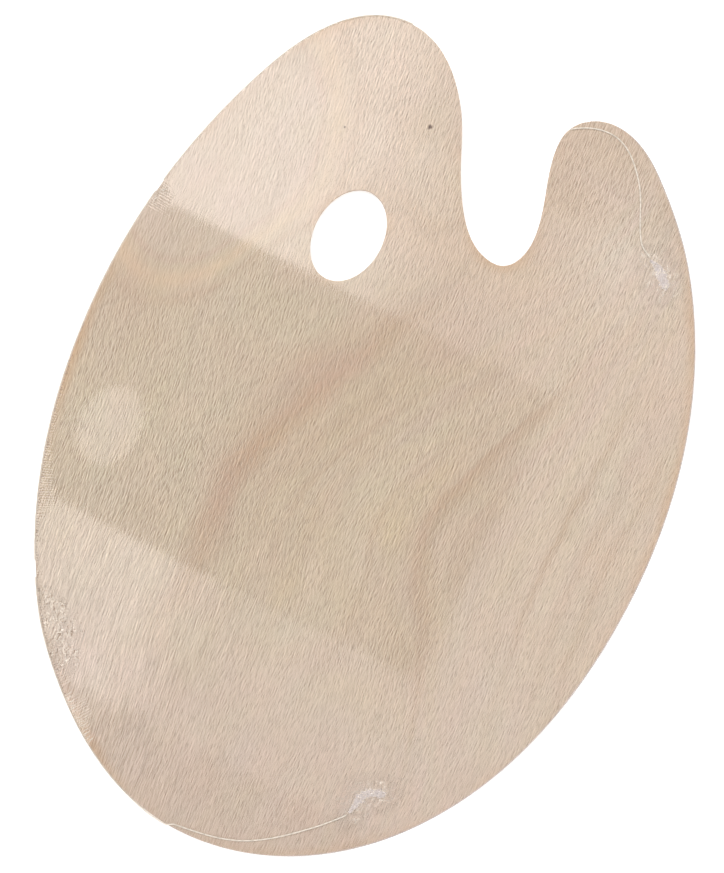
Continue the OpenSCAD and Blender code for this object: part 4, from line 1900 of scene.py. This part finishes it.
@dataclass(frozen=True)
class Bunch:
    """A corner of the film that is gathered or crumpled into a low mound, with creases round it that have
    painted highlights on their crests and painted shade in their valleys.
    """

    node: str
    spots: tuple[Spot, ...]
    height: float            # height of the mound
    milk: float              # how milky the mound is, from 0 to 1
    halo: float              # how far the creases spread
    # Strength of the painted highlights on the crests of the creases round the mound.
    halo_highlight: float
    crease: float            # height of the creases
    pitch: float             # distance between creases
    headings: tuple[float, float]    # directions of the two sets of creases, degrees
    shadow: float            # how dark the valleys between creases are
    seed: int
    grid: float = 0.22 * MM
    lift: float = 0.09 * MM
    thickness: float = 0.05 * MM
    spread: float = 20.0     # how far single creases turn from those directions, degrees

    def nearness(self, points: np.ndarray, fit: tuple[float, float]) -> tuple[np.ndarray, np.ndarray]:
        """How far each point is from the bunch's line.

        Args:
            points: Rows of x and y in metres.
            fit: Share of the drawn size that the board really has.

        Returns:
            The distance in metres, and half the bunch's width beside each point.
        """
        best, wide = np.full(len(points), np.inf), np.zeros(len(points))
        stops = [np.array([s.x * fit[0], s.y * fit[1]]) for s in self.spots]
        for a, b, s, t in zip(stops, stops[1:], self.spots, self.spots[1:], strict=False):
            along = b - a
            share = np.clip((points - a) @ along / (along @ along), 0, 1)
            away = np.hypot(*(points - a - share[:, None] * along).T)
            nearer = away < best
            best = np.where(nearer, away, best)
            wide = np.where(nearer, (s.half + (t.half - s.half) * share) * MM, wide)
        return best, wide

    def creased(self, points: np.ndarray) -> tuple[np.ndarray, np.ndarray, np.ndarray]:
        """Two sets of creases that cross each other.

        Args:
            points: Rows of x and y in metres.

        Returns:
            The height between -1 and 1, and how near each point is to a crest and to a valley.
        """
        sets = [Creases(self.seed + 11 * k, self.pitch, heading, self.spread, 2)
                for k, heading in enumerate(self.headings)]
        found = [one.at(points) for one in sets]
        breaks = [eased(Ripple(self.seed + 50 + k, 2 * MM, 9 * MM, 8).at(points), -0.5, 0.7)
                  for k in range(2)]
        height = sum(f[0] for f in found) / 2
        crests = np.maximum(*[f[1] * b for f, b in zip(found, breaks, strict=True)])
        valleys = np.maximum(*[f[2] * b for f, b in zip(found, breaks, strict=True)])
        return height, crests, valleys

    def build(self, rim: DrawnLine, finish: FilmFinish) -> None:
        """Builds, dresses and hands over the bunch.

        Args:
            rim: The board's rim, which the creases stay inside.
            finish: Finish of crushed film.
        """
        centre = np.array([[s.x, s.y] for s in self.spots]) * np.array(rim.fit)
        low, high = centre.min(0) - self.halo * 1.25, centre.max(0) + self.halo * 1.25
        across, along = (np.arange(a, b, self.grid) for a, b in zip(low, high, strict=True))
        flat = np.stack(np.meshgrid(across, along, indexing="ij"), -1).reshape(-1, 2)
        form = self.form(flat, rim.fit)

        here = np.arange(len(flat)).reshape(len(across), len(along))
        keep = form.kept.reshape(here.shape)
        solid = keep[:-1, :-1] & keep[1:, :-1] & keep[1:, 1:] & keep[:-1, 1:]
        places = rim.spaced(0, len(rim.anchors), even(1.5 * MM))[:-1]
        bounds = rim.points(places) - rim.outward(places) * 0.5 * MM
        solid &= inside(flat, bounds).reshape(here.shape)[:-1, :-1]
        corners = np.stack([here[:-1, :-1], here[1:, :-1], here[1:, 1:], here[:-1, 1:]], -1)[solid]
        used, corners = np.unique(corners, return_inverse=True)

        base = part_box("film_front")[1].z + self.lift
        blank = Blank()
        blank.add(np.column_stack([flat, base + form.height])[used], corners.reshape(-1, 4))
        piece = blank.piece(f"{self.node}_film")
        face_up(piece, True)
        write_attribute(piece, MILK_ATTRIBUTE, form.milk[used])
        write_attribute(piece, SHADE_HIGHLIGHT_ATTRIBUTE, form.tone[used])
        write_attribute(piece, CRUSH_ATTRIBUTE, form.crush[used])
        shade_soft(piece, 50)
        thicken(piece, self.thickness)
        piece.data.materials.append(finish.make())
        hand_over(piece, [self.node])

    def form(self, flat: np.ndarray, fit: tuple[float, float]) -> Form:
        """The crushed film above each point.

        Args:
            flat: Rows of x and y in metres.
            fit: Share of the drawn size that the board really has.

        Returns:
            The form.
        """
        away, half = self.nearness(flat, fit)
        ragged = Ripple(self.seed, 2.5 * MM, 12 * MM, 10).at(flat)
        reach = (away - half + ragged * 1.1 * MM) / self.halo
        halo = 1 - eased(reach, 0.05, 1.0)
        rough = Ripple(self.seed + 1, 0.8 * MM, 4 * MM, 10).at(flat)
        core = 1 - eased(away / np.maximum(half, HAIR) + 0.16 * rough, 0.62, 1.12)
        folds, crests, valleys = self.creased(flat)
        patchy = eased(Ripple(self.seed + 4, 1.6 * MM, 7 * MM, 10).at(flat), -0.9, 0.9)
        drawn = halo**1.3 * patchy
        height = (core * self.height * (0.6 + 0.3 * folds)
                  + drawn * self.crease * (0.5 + 0.5 * folds))

        mass = core * self.milk * np.clip(0.85 + 0.12 * rough, 0, 1)
        # Painted highlights: outline along the edge of a gather, and bright on the crests of creases. Painted
        # shade: the valleys below.
        outline = np.exp(-(((core - 0.45) / 0.22) ** 2)) * eased(rough, -1.2, 0.6) * self.milk
        marked = np.maximum(drawn, core * 0.9) if self.milk < THIN_MILK else drawn
        bright = np.maximum(np.maximum(marked * self.halo_highlight, core * 0.35) * crests, outline)
        valley_shade = marked * self.shadow * valleys
        # Tone 1 is painted highlight, 0 painted shade, 0.5 plain milk.
        tone = np.where(bright >= np.maximum(mass * 0.7, valley_shade), 1.0, np.where(valley_shade > mass, 0.0, 0.5))
        return Form(
            kept=reach < 0.98,
            height=np.maximum(height, 0),
            milk=np.clip(np.maximum(mass, np.maximum(bright, valley_shade)), 0, 1),
            tone=tone,
            crush=np.clip(np.maximum(core * 0.5, halo**2 * 0.1), 0, 1),
        )


THIN_MILK = 0.3      # a bunch with less milk than this is crumpled and not gathered
BUNCHES = (
    Bunch("corner_gather_right",
          (Spot(84.6, 149, 0.9), Spot(88.5, 147.6, 2.0), Spot(92, 144.8, 3.1), Spot(96, 141.2, 2.2)),
          0.9 * MM, 0.62, 9 * MM, 0.85, 0.26 * MM, 1.25 * MM, (-60, 80), 0.16, 101),
    Bunch("corner_gather_bottom",
          (Spot(72.8, -155, 0.8), Spot(74.4, -146.5, 2.6), Spot(76, -143, 2.4), Spot(83, -140, 2.0)),
          0.9 * MM, 0.60, 9 * MM, 0.75, 0.26 * MM, 1.25 * MM, (20, 80), 0.14, 202),
    Bunch("corner_crumple_left", (Spot(-104.5, -128, 1.5), Spot(-93, -137.4, 5), Spot(-84, -149, 3.0)),
          0.25 * MM, 0.03, 6.0 * MM, 1.30, 0.24 * MM, 0.95 * MM, (-55, 68), 1.60, 303),
    Bunch("corner_crumple_upper", (Spot(-142.6, 74, 0.5), Spot(-144.2, 68, 0.8)),
          0.20 * MM, 0.06, 2.8 * MM, 0.80, 0.15 * MM, 0.8 * MM, (20, 90), 0.7, 404),
)


# ---- the studio ----


class Lamp(NamedTuple):
    """A soft box."""

    name: str
    place: tuple[float, float, float]
    aim: tuple[float, float, float]
    size: tuple[float, float]
    brightness: float


@dataclass(frozen=True)
class Studio:
    """White floor, soft light all round, and a camera straight above the painting face."""

    lens: float = 100.0
    sensor: float = 36.0
    shown_height: float = 0.4227             # what the long side of the picture covers
    roll: float = 26.5                       # how far the board is turned in the picture, degrees
    aim: tuple[float, float] = (-0.003, 0.0105)
    sky: float = 0.92
    floor_half: float = 4.0
    panel_half: float = 0.45
    floor_drop: float = 0.1 * MM

    def camera_height(self) -> float:
        """Height of the camera above the painting face."""
        return self.shown_height * self.lens / self.sensor

    def lamps(self) -> tuple[Lamp, ...]:
        """The two soft boxes."""
        return (
            Lamp("key", (-1.9, 1.3, 2.0), (0, 0, 0), (1.4, 1.4), 8.2),
            Lamp("fill", (1.9, -0.9, 2.2), (0, 0, 0), (1.8, 1.8), 2.3),
        )

    def build(self) -> None:
        """Builds the camera, the floor and the light."""
        scene = bpy.context.scene
        scene.view_settings.view_transform = "Standard"
        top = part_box("film_front")[1].z
        data = bpy.data.cameras.new("camera")
        data.lens, data.sensor_width = self.lens, self.sensor
        camera = new_object("camera", data)
        camera.location = (*self.aim, top + self.camera_height())
        camera.rotation_euler = (0, 0, math.radians(self.roll))
        scene.camera = camera
        self.build_level("floor", self.floor_half, CAD_BOX[0].z - self.floor_drop, FloorFinish().make())
        panel = self.build_level("overhead_panel", self.panel_half, top + self.camera_height(),
                                 PanelFinish().make())
        panel.visible_camera = False
        self.build_sky()
        for lamp in self.lamps():
            self.build_lamp(lamp)

    def build_level(self, name: str, half: float, height: float,
                    material: bpy.types.Material) -> bpy.types.Object:
        """Builds a level square that belongs to the studio.

        Args:
            name: Name of the square.
            half: Half its side in metres.
            height: Its height.
            material: Its finish.

        Returns:
            The square.
        """
        mesh = bpy.data.meshes.new(name)
        corners = [(-half, -half), (half, -half), (half, half), (-half, half)]
        mesh.from_pydata([(x, y, 0.0) for x, y in corners], [], [(0, 1, 2, 3)])
        level = new_object(name, mesh)
        level.location.z = height
        level.data.materials.append(material)
        return level

    def build_sky(self) -> None:
        """Lights the scene evenly from all round."""
        world = bpy.data.worlds.new("studio")
        world.use_nodes = True
        bpy.context.scene.world = world
        background = world.node_tree.nodes["Background"]
        background.inputs["Color"].default_value = (1.0, 1.0, 1.0, 1.0)
        background.inputs["Strength"].default_value = self.sky

    def build_lamp(self, lamp: Lamp) -> None:
        """Builds one lamp, as bright all over as it says.

        Args:
            lamp: The lamp.
        """
        data = bpy.data.lights.new(lamp.name, "AREA")
        data.shape = "RECTANGLE"
        data.size, data.size_y = lamp.size
        data.energy = lamp.brightness * lamp.size[0] * lamp.size[1] * math.pi
        light = new_object(lamp.name, data)
        light.location = lamp.place
        light.rotation_euler = (Vector(lamp.aim) - Vector(lamp.place)).to_track_quat("-Z", "Y").to_euler()
        light.visible_camera = False


def main() -> None:
    """Builds the studio and every piece of the palette."""
    logging.basicConfig(level=logging.INFO, format="%(name)s: %(message)s")
    low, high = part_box("front_veneer")
    fit = tuple((high[k] - low[k]) / DRAWN_SIZE[k] for k in range(2))
    rim = DrawnLine(RIM_ANCHORS, fit, True)
    top_weld, bottom_weld = DrawnLine(TOP_WELD_ANCHORS, fit), DrawnLine(BOTTOM_WELD_ANCHORS, fit)
    hole = ThumbHole()
    crushed = FilmFinish("crushed_shrink_film", crushed=True)
    Studio().build()
    Board(rim, hole).build()
    Envelope(rim, hole, top_weld, bottom_weld).build()
    Welds(rim, top_weld, bottom_weld).build()
    for pleats in PLEATS:
        pleats.build(rim, crushed)
    crumpled = FilmFinish("crumpled_shrink_film", milk_tone=(214, 198, 180), crushed=True)
    for bunch in BUNCHES:
        bunch.build(rim, crumpled if bunch.milk < THIN_MILK else crushed)


if __name__ == "__main__":
    main()
